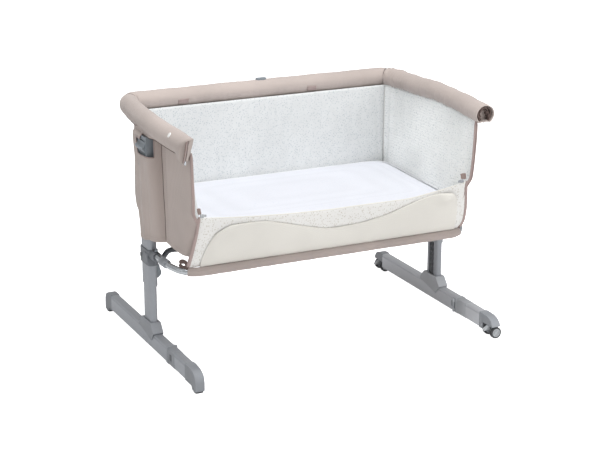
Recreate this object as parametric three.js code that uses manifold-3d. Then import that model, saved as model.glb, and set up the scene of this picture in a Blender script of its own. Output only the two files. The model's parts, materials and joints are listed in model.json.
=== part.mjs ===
// Bedside bassinet on a height-adjustable stand. Millimetres, +Z up, +X along the bed, -Y towards the
// open front side. The origin is on the floor, under the middle of the bed.
import * as THREE from "three";
import { mergeVertices } from "three/addons/utils/BufferGeometryUtils.js";
import Module from "manifold-3d";

const wasm = await Module();
wasm.setup();

// ---- Driving dimensions ----
const GAP = 0.3; // clearance kept between touching pieces
const LEG_X = 438; // middle of each foot and column
const FOOT_HALF_LENGTH = 345;
const FOOT_WIDTH = 25;
const FOOT_LOW = 14;
const FOOT_HIGH = 59;
const FOOT_WALL = 2;
const FOLD_Y = -140; // joint line of the folding front section
const SOCKET_LENGTH = 57;
const FRONT_CAP_Y = -272;
const REAR_CAP_Y = 292;
const KNUCKLE_TOP = 86;
const COLUMN = { x: 20, y: 60, low: 61, high: 560, wall: 1.8, grooveWidth: 26, grooveDepth: 4 };
const SLEEVE = { x: 25, y: 66, low: 186, high: 590 };
const COLLAR = { x: 31, y: 73, low: 245, high: 288 };
const WHEEL = { x: 440, r: 16, hubR: 11.5, width: 12, face: 340, gap: 24 };
const RAIL_TUBE_R = 14;
const RAIL_PAD_R = 26.5;
const RAIL_PAD_BORE = 17.6;
const RAIL_Z = 627;
const RAIL_BACK_Y = 245;
const WALL = 8; // fabric wall with its lining
const FLOOR_BOARD = { low: 336, high: 346, front: -186, back: 172, halfX: 372 };
const MATTRESS_TOP = 388;
const FRONT_FOOT = { y: -190, z: 279, lean: 19.3 }; // lower edge of the lowered front side, and its lean
const DROP_TUBE_R = 8.5;
const LOOP_TUBE_R = 7;

const bed = new THREE.Group();

// ---- Materials ----
const finish = (color, roughness, metalness) =>
  new THREE.MeshStandardMaterial({ color, roughness, metalness });
const ALUMINIUM = () => finish(0x989ba0, 0.45, 0.6);
const GREY_PLASTIC = () => finish(0x87898d, 0.55, 0);
const DARK_PLASTIC = () => finish(0x6e757a, 0.5, 0);
const BRIGHT_TUBE = () => finish(0xa3a7aa, 0.3, 0.8);
const RUBBER = () => finish(0x3a3c3e, 0.8, 0);
const LIGHT_PLASTIC = () => finish(0xb4b7b9, 0.5, 0);
const TAUPE = () => finish(0xae9f98, 0.9, 0);
const LINING = () => finish(0xe8ecec, 0.9, 0);
const CREAM = () => finish(0xdddad4, 0.9, 0);
const BOARD = () => finish(0xc9c5bd, 0.8, 0);

// ---- Geometry helpers ----
const v = (x, y, z) => new THREE.Vector3(x, y, z);

// A mesh as a solid for cutting and joining.
function solid(geometry) {
  const bare = new THREE.BufferGeometry();
  bare.setAttribute("position", geometry.getAttribute("position"));
  if (geometry.index) bare.setIndex(geometry.index);
  const merged = mergeVertices(bare, 1e-3);
  const mesh = new wasm.Mesh({
    numProp: 3,
    vertProperties: Float32Array.from(merged.attributes.position.array),
    triVerts: Uint32Array.from(merged.index.array),
  });
  return new wasm.Manifold(mesh);
}

function fromSolid(shape) {
  const mesh = shape.getMesh();
  const geometry = new THREE.BufferGeometry();
  geometry.setAttribute("position", new THREE.BufferAttribute(mesh.vertProperties, 3));
  geometry.setIndex(new THREE.BufferAttribute(mesh.triVerts, 1));
  return geometry;
}

function cut(geometry, ...tools) {
  const left = tools.reduce((body, tool) => body.subtract(solid(tool)), solid(geometry));
  return fromSolid(left);
}

function join(geometry, ...others) {
  const sum = others.reduce((body, other) => body.add(solid(other)), solid(geometry));
  return fromSolid(sum);
}

// Turns the faces round if they point inwards.
function facingOut(positions, faces) {
  let volume = 0;
  for (const [a, b, c] of faces) {
    volume += positions[a].dot(v(0, 0, 0).crossVectors(positions[b], positions[c]));
  }
  const ordered = volume < 0 ? faces.map(([a, b, c]) => [a, c, b]) : faces;
  const geometry = new THREE.BufferGeometry().setFromPoints(positions);
  geometry.setIndex(ordered.flat());
  return geometry;
}

// A closed solid through convex rings that all have the same number of points.
function loft(rings) {
  const count = rings[0].length;
  const positions = rings.flat();
  const faces = [];
  for (let i = 0; i + 1 < rings.length; i += 1) {
    for (let j = 0; j < count; j += 1) {
      const a = i * count + j;
      const b = i * count + ((j + 1) % count);
      faces.push([a, b, a + count], [b, b + count, a + count]);
    }
  }
  const last = (rings.length - 1) * count;
  for (let j = 1; j + 1 < count; j += 1) {
    faces.push([0, j + 1, j], [last, last + j, last + j + 1]);
  }
  return facingOut(positions, faces);
}

// Circles of one radius across a path that runs mostly level.
function circlesAlong(path, radius, sides) {
  return path.map((point, i) => {
    const ahead = path[Math.min(i + 1, path.length - 1)];
    const behind = path[Math.max(i - 1, 0)];
    const tangent = ahead.clone().sub(behind).normalize();
    const across = v(0, 0, 1).cross(tangent).normalize();
    const up = tangent.clone().cross(across);
    return Array.from({ length: sides }, (_, k) => {
      const angle = ((k + 0.5) / sides) * 2 * Math.PI;
      return point
        .clone()
        .addScaledVector(across, radius * Math.cos(angle))
        .addScaledVector(up, radius * Math.sin(angle));
    });
  });
}

// A round tube along a path, or along its points from first to last, open at both ends.
function pipe(path, radius, bore, sides, first = 0, last = path.length) {
  const outer = circlesAlong(path, radius, sides).slice(first, last);
  const inner = circlesAlong(path, bore, sides).slice(first, last);
  const positions = [...outer.flat(), ...inner.flat()];
  const offset = outer.length * sides;
  const faces = [];
  const quad = (a, b, c, d) => faces.push([a, b, c], [a, c, d]);
  for (let j = 0; j < sides; j += 1) {
    const k = (j + 1) % sides;
    for (let i = 0; i + 1 < outer.length; i += 1) {
      const near = i * sides;
      const far = near + sides;
      quad(near + j, near + k, far + k, far + j);
      quad(offset + near + j, offset + far + j, offset + far + k, offset + near + k);
    }
    const end = (outer.length - 1) * sides;
    quad(j, offset + j, offset + k, k);
    quad(end + j, end + k, offset + end + k, offset + end + j);
  }
  return facingOut(positions, faces);
}

// Evenly spaced points on a smooth curve through the given ones.
const smooth = (points, steps) =>
  new THREE.CatmullRomCurve3(points, false, "centripetal").getSpacedPoints(steps);

function roundedRectangle(width, height, radius, x = 0, y = 0) {
  const shape = new THREE.Shape();
  const w = width / 2;
  const h = height / 2;
  const r = Math.min(radius, w - 0.01, h - 0.01);
  shape.moveTo(x + w, y - h + r);
  shape.lineTo(x + w, y + h - r);
  shape.absarc(x + w - r, y + h - r, r, 0, Math.PI / 2, false);
  shape.lineTo(x - w + r, y + h);
  shape.absarc(x - w + r, y + h - r, r, Math.PI / 2, Math.PI, false);
  shape.lineTo(x - w, y - h + r);
  shape.absarc(x - w + r, y - h + r, r, Math.PI, 1.5 * Math.PI, false);
  shape.lineTo(x + w - r, y - h);
  shape.absarc(x + w - r, y - h + r, r, 1.5 * Math.PI, 2 * Math.PI, false);
  return shape;
}

function tubeSection(width, height, radius, wall) {
  const shape = roundedRectangle(width, height, radius);
  const inside = Math.max(radius - wall, 0.6);
  shape.holes.push(roundedRectangle(width - 2 * wall, height - 2 * wall, inside));
  return shape;
}

const extrude = (shape, depth, curveSegments = 3, bevel = 0) =>
  new THREE.ExtrudeGeometry(shape, {
    depth: depth - 2 * bevel,
    curveSegments,
    bevelEnabled: bevel > 0,
    bevelThickness: bevel,
    bevelSize: bevel,
    bevelOffset: -bevel,
    bevelSegments: 1,
  }).translate(0, 0, bevel);

// A section in X and Z, centred on x and z, run from y0 to y1.
const alongY = (shape, x, z, y0, y1, segments = 3, bevel = 0) =>
  extrude(shape, y1 - y0, segments, bevel).rotateX(Math.PI / 2).translate(x, y1, z);

// A section in X and Y run from z0 to z1.
const alongZ = (shape, x, y, z0, z1, segments = 3, bevel = 0) =>
  extrude(shape, z1 - z0, segments, bevel).translate(x, y, z0);

// An outline in Y and Z, given true heights, as a plate from x0 to x1.
function alongX(shape, x0, x1, segments = 3, bevel = 0) {
  const low = Math.min(x0, x1);
  const axes = new THREE.Matrix4().makeBasis(v(0, 1, 0), v(0, 0, 1), v(1, 0, 0));
  return extrude(shape, Math.abs(x1 - x0), segments, bevel).applyMatrix4(axes).translate(low, 0, 0);
}

function box(x0, x1, y0, y1, z0, z1) {
  const block = new THREE.BoxGeometry(Math.abs(x1 - x0), y1 - y0, z1 - z0);
  return block.translate((x0 + x1) / 2, (y0 + y1) / 2, (z0 + z1) / 2);
}

// A cylinder on an axis along Y or Z.
const rodY = (r, x, z, y0, y1, sides = 10) =>
  new THREE.CylinderGeometry(r, r, y1 - y0, sides).translate(x, (y0 + y1) / 2, z);
const rodZ = (r, x, y, z0, z1, sides = 10) =>
  new THREE.CylinderGeometry(r, r, z1 - z0, sides).rotateX(Math.PI / 2).translate(x, y, (z0 + z1) / 2);

function polygon(points) {
  const shape = new THREE.Shape();
  points.forEach(([a, b], i) => (i === 0 ? shape.moveTo(a, b) : shape.lineTo(a, b)));
  return shape;
}

function add(name, geometry, material) {
  const mesh = new THREE.Mesh(geometry, material);
  mesh.name = name;
  bed.add(mesh);
}

const SIDES = [
  { name: "left", s: -1, wheels: false },
  { name: "right", s: 1, wheels: true },
];

// ---- Foot: a hollow bar, its folding front section, end caps and the column's knuckle ----
const footSection = (grow = 0) => tubeSection(FOOT_WIDTH + grow, FOOT_HIGH - FOOT_LOW + grow, 5, FOOT_WALL);
const FOOT_MIDDLE_Z = (FOOT_LOW + FOOT_HIGH) / 2;

function footBars({ name, s }) {
  const socketEnd = FOLD_Y - 1 - SOCKET_LENGTH;
  add(
    `${name}_foot_bar`,
    alongY(footSection(), s * LEG_X, FOOT_MIDDLE_Z, FOLD_Y + 1, REAR_CAP_Y - GAP),
    ALUMINIUM(),
  );
  add(
    `${name}_front_foot_bar`,
    alongY(footSection(), s * LEG_X, FOOT_MIDDLE_Z, FRONT_CAP_Y + GAP, socketEnd - GAP),
    ALUMINIUM(),
  );
}

// Release button of the folding section, in a window of the socket's outer wall.
const BUTTON = { y: -173, z: 37, width: 15, height: 17, depth: 8, proud: 1 };
// The hinge stands on the inner face: two barrels on the socket, one between them on the bar.
const HINGE = { offset: 3.5, barrelR: 3.3, pinR: 1.7, lower: 17, upper: 45, barrel: 11 };
const HINGE_LEAF = { length: 18, thickness: 1.5 };

function foldJoint({ name, s }) {
  const socketEnd = FOLD_Y - 1 - SOCKET_LENGTH;
  const outer = s * (LEG_X + FOOT_WIDTH / 2);
  const inner = s * (LEG_X - FOOT_WIDTH / 2);
  const lip = alongY(footSection(2.6), s * LEG_X, FOOT_MIDDLE_Z, FOLD_Y - 14, FOLD_Y - 1, 2);
  const body = alongY(footSection(1), s * LEG_X, FOOT_MIDDLE_Z, socketEnd, FOLD_Y - 1, 2);
  const pinX = inner - s * HINGE.offset;
  const places = [HINGE.lower, HINGE.upper];
  const barrels = places.map((z) => rodZ(HINGE.barrelR, pinX, FOLD_Y, z, z + HINGE.barrel));
  const arms = places.map((z) => box(pinX, inner + s, FOLD_Y - 6, FOLD_Y - 1.5, z, z + HINGE.barrel));
  const window = box(
    outer - s * 6,
    outer + s * 4,
    BUTTON.y - BUTTON.width / 2 - GAP,
    BUTTON.y + BUTTON.width / 2 + GAP,
    BUTTON.z - BUTTON.height / 2 - GAP,
    BUTTON.z + BUTTON.height / 2 + GAP,
  );
  const relief = rodZ(HINGE.barrelR + 0.7, pinX, FOLD_Y, HINGE.lower + HINGE.barrel, HINGE.upper);
  const bore = rodZ(HINGE.pinR + GAP, pinX, FOLD_Y, 0, 70);
  const socket = cut(join(body, lip, ...barrels, ...arms), window, bore, relief);
  add(`${name}_fold_socket`, socket, GREY_PLASTIC());

  const low = HINGE.lower + HINGE.barrel + 0.5;
  const high = HINGE.upper - 0.5;
  const pin = rodZ(HINGE.pinR, pinX, FOLD_Y, HINGE.lower - 1.5, HINGE.upper + HINGE.barrel + 1.5);
  const middleBarrel = rodZ(HINGE.barrelR, pinX, FOLD_Y, low, high);
  const leafFace = inner - s * HINGE_LEAF.thickness;
  const leaf = box(inner - s * GAP, leafFace, FOLD_Y + 1, FOLD_Y + HINGE_LEAF.length, low, high);
  const neck = box(pinX, inner - s * GAP, FOLD_Y + 1.2, FOLD_Y + 3.2, low, high);
  add(`${name}_fold_hinge`, join(pin, middleBarrel, leaf, neck), ALUMINIUM());

  const button = alongX(
    roundedRectangle(BUTTON.width, BUTTON.height, 3, BUTTON.y, BUTTON.z),
    outer + s * BUTTON.proud,
    outer + s * (BUTTON.proud - BUTTON.depth),
    2,
  );
  add(`${name}_fold_button`, button, DARK_PLASTIC());
}

// A cap's toe reaches down to its sole.
const TOE = { low: 4, length: 24 };
const CAP_LOW = FOOT_LOW - 0.5;

// Outline of an end cap in Y and Z: it starts at the bar's end and rounds down to the tip, with or
// without a toe under it.
function capOutline(start, tip, shoulder, hasToe) {
  const sign = Math.sign(tip);
  const low = hasToe ? TOE.low : CAP_LOW;
  const shape = new THREE.Shape();
  shape.moveTo(start, CAP_LOW);
  shape.lineTo(start, FOOT_HIGH + 0.7);
  shape.lineTo(start + (tip - start) * shoulder, FOOT_HIGH + 0.7);
  shape.quadraticCurveTo(tip, FOOT_HIGH, tip, FOOT_LOW + 14);
  shape.lineTo(tip, low + 3);
  shape.lineTo(tip - sign * 3, low);
  if (hasToe) {
    shape.lineTo(tip - sign * TOE.length, low);
    shape.lineTo(tip - sign * (TOE.length + 4), CAP_LOW);
  }
  return shape;
}

function plainCaps({ name, s }) {
  const half = FOOT_WIDTH / 2 + 0.6;
  const ends = [
    ["front", FRONT_CAP_Y, -FOOT_HALF_LENGTH, 0.3],
    ["rear", REAR_CAP_Y, FOOT_HALF_LENGTH, 0.45],
  ];
  for (const [end, start, tip, shoulder] of ends) {
    const outline = capOutline(start, tip, shoulder, true);
    const cap = alongX(outline, s * LEG_X - half, s * LEG_X + half, 5, 1.2);
    add(`${name}_foot_${end}_cap`, cap, GREY_PLASTIC());
    const toe = tip - Math.sign(tip) * (TOE.length / 2 + 1.5);
    const pad = roundedRectangle(22, TOE.length - 4, 5);
    add(`${name}_${end}_foot_pad`, alongZ(pad, s * LEG_X, toe, 0, TOE.low - GAP, 3), RUBBER());
  }
}

// A cap that carries twin wheels on one axle, with a brake pedal between them.
function wheeledCap({ name, s }, end, start) {
  const sign = Math.sign(start);
  const face = sign * WHEEL.face;
  const half = FOOT_WIDTH / 2 + 0.6;
  const x = s * WHEEL.x;
  const innerFace = face - sign * (2 * WHEEL.width + WHEEL.gap);
  const range = (a, b) => [Math.min(a, b), Math.max(a, b)];
  const web = range(face - sign * (WHEEL.width + 1), face - sign * (WHEEL.width + WHEEL.gap - 1));
  const outline = capOutline(start, face + sign * 2, 0.3, false);
  const shell = alongX(outline, s * LEG_X - half, s * LEG_X + half, 5, 1.2);
  const arch = box(x - 40, x + 40, ...range(innerFace - sign * 1, face + sign * 4), -5, 2 * WHEEL.r + 2);
  const hanger = alongY(roundedRectangle(15, 30, 6), x, 22, ...web);
  const bore = rodY(4 + GAP, x, WHEEL.r, web[0] - 1, web[1] + 1);
  const pedalSlot = box(x - s * 30, x - s * 2.6, web[0] + 4.5, web[1] - 4.5, -5, 34);
  const cap = cut(join(cut(shell, arch), hanger), bore, pedalSlot);
  add(`${name}_foot_${end}_cap`, cap, GREY_PLASTIC());

  const outerWheel = range(face, face - sign * WHEEL.width);
  const innerWheel = range(innerFace, innerFace + sign * WHEEL.width);
  const axle = rodY(4, x, WHEEL.r, ...range(face - sign * 1, innerFace + sign * 1));
  const disc = ([a, b]) => rodY(WHEEL.hubR, x, WHEEL.r, a + 0.6, b - 0.6, 18);
  const discs = [outerWheel, innerWheel].map(disc);
  add(`${name}_${end}_wheel_core`, join(axle, ...discs), LIGHT_PLASTIC());
  for (const [place, [a, b]] of [["outer", outerWheel], ["inner", innerWheel]]) {
    const profile = [
      [WHEEL.hubR + GAP, a],
      [WHEEL.r - 1.5, a],
      [WHEEL.r, a + 1.5],
      [WHEEL.r, b - 1.5],
      [WHEEL.r - 1.5, b],
      [WHEEL.hubR + GAP, b],
      [WHEEL.hubR + GAP, a],
    ];
    const ring = new THREE.LatheGeometry(profile.map(([r, y]) => new THREE.Vector2(r, y)), 18);
    add(`${name}_${end}_${place}_tyre`, ring.translate(x, 0, WHEEL.r), RUBBER());
  }
  const pedalOutline = polygon([
    [x - s * 8.5, 33],
    [x - s * 13, 33],
    [x - s * 27, 24],
    [x - s * 28, 20],
    [x - s * 17, 22],
    [x - s * 11, 20],
    [x - s * 8.5, 24],
  ]);
  const pedal = alongY(pedalOutline, 0, 0, web[0] + 5, web[1] - 5);
  add(`${name}_${end}_brake_pedal`, pedal, LIGHT_PLASTIC());
}

// Saddle casting that sits over the foot bar and holds the column.
function knuckle({ name, s }) {
  const outline = polygon([
    [-34, KNUCKLE_TOP],
    [-54, 62],
    [-50, 56],
    [-36, 38],
    [-28, 38],
    [56, 56],
    [57, 62],
    [34, KNUCKLE_TOP],
  ]);
  const half = FOOT_WIDTH / 2 + 2.6;
  const body = alongX(outline, s * LEG_X - half, s * LEG_X + half, 3, 1);
  const barWay = box(
    s * LEG_X - FOOT_WIDTH / 2 - GAP,
    s * LEG_X + FOOT_WIDTH / 2 + GAP,
    -80,
    80,
    0,
    FOOT_HIGH + GAP,
  );
  const socketShape = roundedRectangle(COLUMN.x + 2 * GAP, COLUMN.y + 2 * GAP, 10);
  const socket = alongZ(socketShape, s * LEG_X, 0, COLUMN.low - GAP, KNUCKLE_TOP + 14, 4);
  add(`${name}_knuckle`, cut(body, barWay, socket), GREY_PLASTIC());
}

// Lower column: a flat-sided tube with a groove for the height stops down its inner face.
function column({ name, s }) {
  const shape = roundedRectangle(COLUMN.x, COLUMN.y, 9.5);
  const outerX = s * (COLUMN.x / 2 - COLUMN.wall);
  const innerX = s * (-COLUMN.x / 2 + COLUMN.grooveDepth + COLUMN.wall);
  const middleX = (outerX + innerX) / 2;
  const cavity = roundedRectangle(Math.abs(outerX - innerX), COLUMN.y - 6, 5, middleX, 0);
  shape.holes.push(cavity);
  const tube = alongZ(shape, s * LEG_X, 0, COLUMN.low, COLUMN.high, 4);
  const innerFace = s * (LEG_X - COLUMN.x / 2);
  const half = COLUMN.grooveWidth / 2;
  const grooveFloor = innerFace + s * COLUMN.grooveDepth;
  const groove = box(innerFace - s, grooveFloor, -half, half, COLUMN.low - 1, COLUMN.high + 1);
  add(`${name}_column`, cut(tube, groove), ALUMINIUM());
}

for (const side of SIDES) {
  footBars(side);
  foldJoint(side);
  if (side.wheels) {
    wheeledCap(side, "front", FRONT_CAP_Y);
    wheeledCap(side, "rear", REAR_CAP_Y);
  } else {
    plainCaps(side);
  }
  knuckle(side);
  column(side);
}

// ---- Upright sleeve of the bed, its collar and the height-adjusting levers ----
function sleeve({ name, s }) {
  const shape = roundedRectangle(SLEEVE.x, SLEEVE.y, 12);
  shape.holes.push(roundedRectangle(COLUMN.x + 2 * GAP, COLUMN.y + 1, 9.8));
  add(`${name}_sleeve`, alongZ(shape, s * LEG_X, 0, SLEEVE.low, SLEEVE.high, 4), ALUMINIUM());
}

const sleeveWay = (s) => {
  const section = roundedRectangle(SLEEVE.x + 2 * GAP, SLEEVE.y + 2 * GAP, 12.3);
  return alongZ(section, s * LEG_X, 0, 150, 620, 4);
};

// The drop-side tube's arm leaves the collar here.
const ARM_START = { y: -47, z: 279 };

function collar({ name, s }) {
  const section = roundedRectangle(COLLAR.x, COLLAR.y, 14);
  const ring = alongZ(section, s * LEG_X, 0, COLLAR.low, COLLAR.high, 4, 1);
  const hub = new THREE.CylinderGeometry(15, 16.5, 4, 16)
    .rotateZ(-s * Math.PI / 2)
    .translate(s * (LEG_X + COLLAR.x / 2 + 1), -16, 266);
  const snout = alongY(roundedRectangle(25, 25, 10), s * LEG_X, ARM_START.z - 2.5, -62, -30, 2);
  const armWay = rodY(DROP_TUBE_R + 1, s * LEG_X, ARM_START.z, -70, ARM_START.y + 2, 12);
  const buttonWay = rodZ(4 + GAP, s * LEG_X, -54, ARM_START.z, 300);
  add(`${name}_collar`, cut(join(ring, hub, snout), sleeveWay(s), armWay, buttonWay), GREY_PLASTIC());
  const button = rodZ(4, s * LEG_X, -54, ARM_START.z + DROP_TUBE_R + 2.8, 297);
  add(`${name}_arm_button`, button, DARK_PLASTIC());
}

const HOUSING = { low: 512, high: 597, front: -46, rear: 16, proud: 5.5 };
const LEVER = { front: -42, rear: 12, reach: 11.5 };

function heightLever({ name, s }) {
  const outer = s * (LEG_X + SLEEVE.x / 2);
  const { low, high, front, rear, proud } = HOUSING;
  const block = box(s * (LEG_X - 4), outer + s * proud, front, rear, low, high);
  const nose = box(s * (LEG_X - 12), outer, front, -30, low, high);
  const recess = box(outer + s * 2.5, outer + s * 9, LEVER.front - 1, LEVER.rear + 1, 545, 587);
  add(`${name}_lever_housing`, cut(join(block, nose), sleeveWay(s), recess), DARK_PLASTIC());
  const face = outer + s * 3;
  const profile = polygon([
    [face, 584],
    [face + s * 2, 584],
    [face + s * 4, 576],
    [face + s * 8, 571.5],
    [face + s * LEVER.reach, 571],
    [face + s * LEVER.reach, 566],
    [face + s * 7, 561],
    [face + s * 2.5, 556],
    [face, 556],
  ]);
  add(`${name}_height_lever`, alongY(profile, 0, 0, LEVER.front, LEVER.rear), DARK_PLASTIC());

  const latchFace = s * (LEG_X - SLEEVE.x / 2) - s * GAP;
  const latchProfile = polygon([
    [latchFace, 243],
    [latchFace - s * 7, 243],
    [latchFace - s * 9, 232],
    [latchFace - s * 13, 222],
    [latchFace - s * 11, 214],
    [latchFace - s * 5, 208],
    [latchFace, 206],
  ]);
  add(`${name}_height_latch`, alongY(latchProfile, 0, 0, -22, 6), DARK_PLASTIC());
}

// ---- Top rail: two bent half tubes, a snap coupler at the back and the padded cover ----
// One half of the rail's centre line, from the open front end to the middle of the back.
const RAIL_FRONT = v(420, -275, 618);
function railPath(s, frontY, middleX) {
  const arm = smooth(
    [
      v(RAIL_FRONT.x, frontY, RAIL_FRONT.z),
      v(427, -190, 621.5),
      v(430.5, -100, 625),
      v(429, 0, 627),
      v(421, 100, RAIL_Z),
      v(408, 200, RAIL_Z),
    ],
    7,
  );
  const corner = [v(404, 221, RAIL_Z), v(396, 237, RAIL_Z), v(380, RAIL_BACK_Y, RAIL_Z)];
  const back = [v(190, RAIL_BACK_Y, RAIL_Z), v(middleX, RAIL_BACK_Y, RAIL_Z)];
  return [...arm, ...corner, ...back].map((p) => v(s * p.x, p.y, p.z));
}

const COUPLER = { halfX: 32, bumpWidth: 32, bumpDepth: 14 };

function railBracket({ name, s }) {
  const saddle = alongZ(roundedRectangle(22, 46, 8), s * (LEG_X - 5), 0, SLEEVE.high + GAP, RAIL_Z, 3);
  const tube = pipe(railPath(s, -264, 0.5), RAIL_TUBE_R + GAP, 1, 16);
  const crown = box(s * LEG_X - 40, s * LEG_X + 40, -40, 40, RAIL_Z - 6, RAIL_Z + 30);
  add(`${name}_rail_bracket`, cut(saddle, tube, crown), GREY_PLASTIC());
}

function railTube({ name, s }) {
  add(`${name}_rail_tube`, pipe(railPath(s, -264, 0.5), RAIL_TUBE_R, RAIL_TUBE_R - 1.6, 8), ALUMINIUM());
}

function railCoupler() {
  const path = [-1, 1].map((end) => v(end * COUPLER.halfX, RAIL_BACK_Y, RAIL_Z));
  add("rail_coupler", pipe(path, RAIL_TUBE_R + 3, RAIL_TUBE_R + 0.5, 12), DARK_PLASTIC());
  const cap = roundedRectangle(COUPLER.bumpWidth, COUPLER.bumpDepth, 6.9);
  add("rail_coupler_button", alongZ(cap, 0, RAIL_BACK_Y, RAIL_Z + 20.3, RAIL_Z + 31, 3, 1), DARK_PLASTIC());
}

// The cover's seams lie in the mitre of the corners, at this point of each half's path.
const SEAM_POINT = 9;

function armCover({ name, s }) {
  const pad = pipe(railPath(s, RAIL_FRONT.y, 0), RAIL_PAD_R, RAIL_PAD_BORE, 12, 0, SEAM_POINT + 1);
  pad.translate(s * GAP, -GAP, 0);
  const bracketWay = box(s * (LEG_X - 18), s * (LEG_X + 8), -26, 26, 590, RAIL_Z - 5);
  add(`${name}_rail_cover`, cut(pad, bracketWay), TAUPE());
}

function backCover() {
  const left = railPath(-1, RAIL_FRONT.y, 0);
  const right = railPath(1, RAIL_FRONT.y, 0).slice(0, -1).reverse();
  const whole = [...left, ...right];
  const pad = pipe(whole, RAIL_PAD_R, RAIL_PAD_BORE, 12, SEAM_POINT, whole.length - SEAM_POINT);
  const opening = roundedRectangle(COUPLER.bumpWidth + 1.2, COUPLER.bumpDepth + 1.2, 7.4);
  const way = alongZ(opening, 0, RAIL_BACK_Y, RAIL_Z + 5, RAIL_Z + 40, 2);
  add("back_rail_cover", cut(pad, way), TAUPE());
}

// ---- Lower frame: the bent tube of the drop side, and the loops that carry the base ----
function dropSideTube() {
  const right = smooth(
    [
      v(350, -194, 268),
      v(388, -190, 268.5),
      v(414, -172, 270),
      v(429, -140, 273),
      v(435, -100, 276),
      v(LEG_X, -66, ARM_START.z - 0.5),
      v(LEG_X, ARM_START.y, ARM_START.z),
    ],
    7,
  );
  const left = right.map((p) => v(-p.x, p.y, p.z)).reverse();
  const tube = pipe([...left, ...right], DROP_TUBE_R, DROP_TUBE_R - 1.4, 10);
  add("drop_side_tube", tube, BRIGHT_TUBE());
}

const LOOP = { x: 362, z: FLOOR_BOARD.low - LOOP_TUBE_R - GAP };

function baseLoop({ name, s }) {
  const half = [
    v(s * 412, -42, 272),
    v(s * 405, -56, 289),
    v(s * 392, -78, 298),
    v(s * 377, -104, 303),
    v(s * 367, -128, 318),
    v(s * LOOP.x, -142, LOOP.z),
    v(s * (LOOP.x - 3), -120, LOOP.z),
  ];
  const front = smooth(half, 7);
  const rear = front.map((p) => v(p.x, -p.y, p.z)).reverse();
  const tube = pipe([...front, ...rear], LOOP_TUBE_R, LOOP_TUBE_R - 1.4, 8);
  add(`${name}_base_loop`, tube, DARK_PLASTIC());
}

function baseBoard() {
  const width = FLOOR_BOARD.back - FLOOR_BOARD.front;
  const outline = roundedRectangle(2 * FLOOR_BOARD.halfX, width, 30);
  const middle = (FLOOR_BOARD.back + FLOOR_BOARD.front) / 2;
  add("base_board", alongZ(outline, 0, middle, FLOOR_BOARD.low, FLOOR_BOARD.high, 4), BOARD());
}

// ---- Soft parts ----
// An end wall follows the rail's bow at its top and stands straighter at its foot. Each station is y,
// the wall's middle x at the top and at the foot, then its low and high edge.
function endWall({ name, s }) {
  const stations = [
    [220, 390, 388, 372, 598],
    [208, 391, 388, 345, 598],
    [175, 396, 389, 328, 598],
    [110, 404, 390, 321, 598],
    [33, 409, 392, 316, 598],
    [-60, 410, 393, 313, 598],
    [-140, 407, 394, 311, 598],
    [-187, 404, 395, 309, 598],
    [-231, 401, 397, 433, 597],
    [-240, 401, 397, 446, 597],
    [-246, 401, 398, 520, 596],
  ];
  const rings = stations.map(([y, topX, footX, low, high]) => {
    const at = (x, offset, z) => v(s * (x + offset), y, z);
    const half = WALL / 2;
    const foot = [at(footX, -half, low), at(footX, half, low)];
    return [...foot, at(topX, half, high), at(topX, -half, high)];
  });
  add(`${name}_end_wall`, loft(rings), TAUPE());
}

function backWall() {
  const outline = polygon([
    [230, 598],
    [222, 598],
    [222, 376],
    [212, 354],
    [182, 335],
    [182, 327],
    [216, 342],
    [230, 372],
  ]);
  add("back_wall", alongX(outline, -383, 383), LINING());
}

// The lowered front side and the pocket on it lean outwards together.
function leaning(geometry) {
  const lean = THREE.MathUtils.degToRad(FRONT_FOOT.lean);
  return geometry.rotateX(lean).translate(0, FRONT_FOOT.y, FRONT_FOOT.z);
}

function frontSide() {
  const panel = new THREE.Shape();
  panel.moveTo(-403, 1);
  panel.lineTo(403, 1);
  panel.lineTo(411, 12);
  panel.lineTo(414, 30);
  panel.lineTo(411, 60);
  panel.lineTo(394, 158);
  panel.splineThru([[300, 132], [0, 122], [-300, 132]].map(([x, y]) => new THREE.Vector2(x, y)));
  panel.lineTo(-391, 158);
  panel.lineTo(-396, 57);
  add("front_side", leaning(alongY(panel, 0, 0, 0.5, 9.5, 3)), LINING());

  const pocket = new THREE.Shape();
  pocket.moveTo(-372, 3);
  pocket.lineTo(376, 3);
  pocket.lineTo(382, 90);
  pocket.quadraticCurveTo(375, 128, 340, 126);
  pocket.bezierCurveTo(210, 100, 130, 72, 0, 72);
  pocket.bezierCurveTo(-130, 76, -200, 118, -290, 120);
  pocket.quadraticCurveTo(-340, 112, -360, 60);
  add("front_pocket", leaning(alongY(pocket, 0, 0, -8, 0.1, 5)), CREAM());
}

function mattress() {
  const outline = polygon([
    [-192, FLOOR_BOARD.high + 0.5],
    [185, FLOOR_BOARD.high + 0.5],
    [210, 362],
    [216, 378],
    [214, MATTRESS_TOP],
    [-208, MATTRESS_TOP],
    [-210, 380],
  ]);
  add("mattress", alongX(outline, -378, 378), LINING());
}

for (const side of SIDES) {
  sleeve(side);
  collar(side);
  heightLever(side);
  railBracket(side);
  railTube(side);
  armCover(side);
  baseLoop(side);
  endWall(side);
}
railCoupler();
backCover();
dropSideTube();
baseBoard();
backWall();
frontSide();
mattress();

export default bed;
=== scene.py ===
# A bedside bassinet on its stand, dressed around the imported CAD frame. Metres, +Z up, -Y is the open
# front side, and s is -1 for the left end and 1 for the right end.
import json
import math

import bmesh
import bpy
import numpy as np
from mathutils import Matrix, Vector, noise

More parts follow.
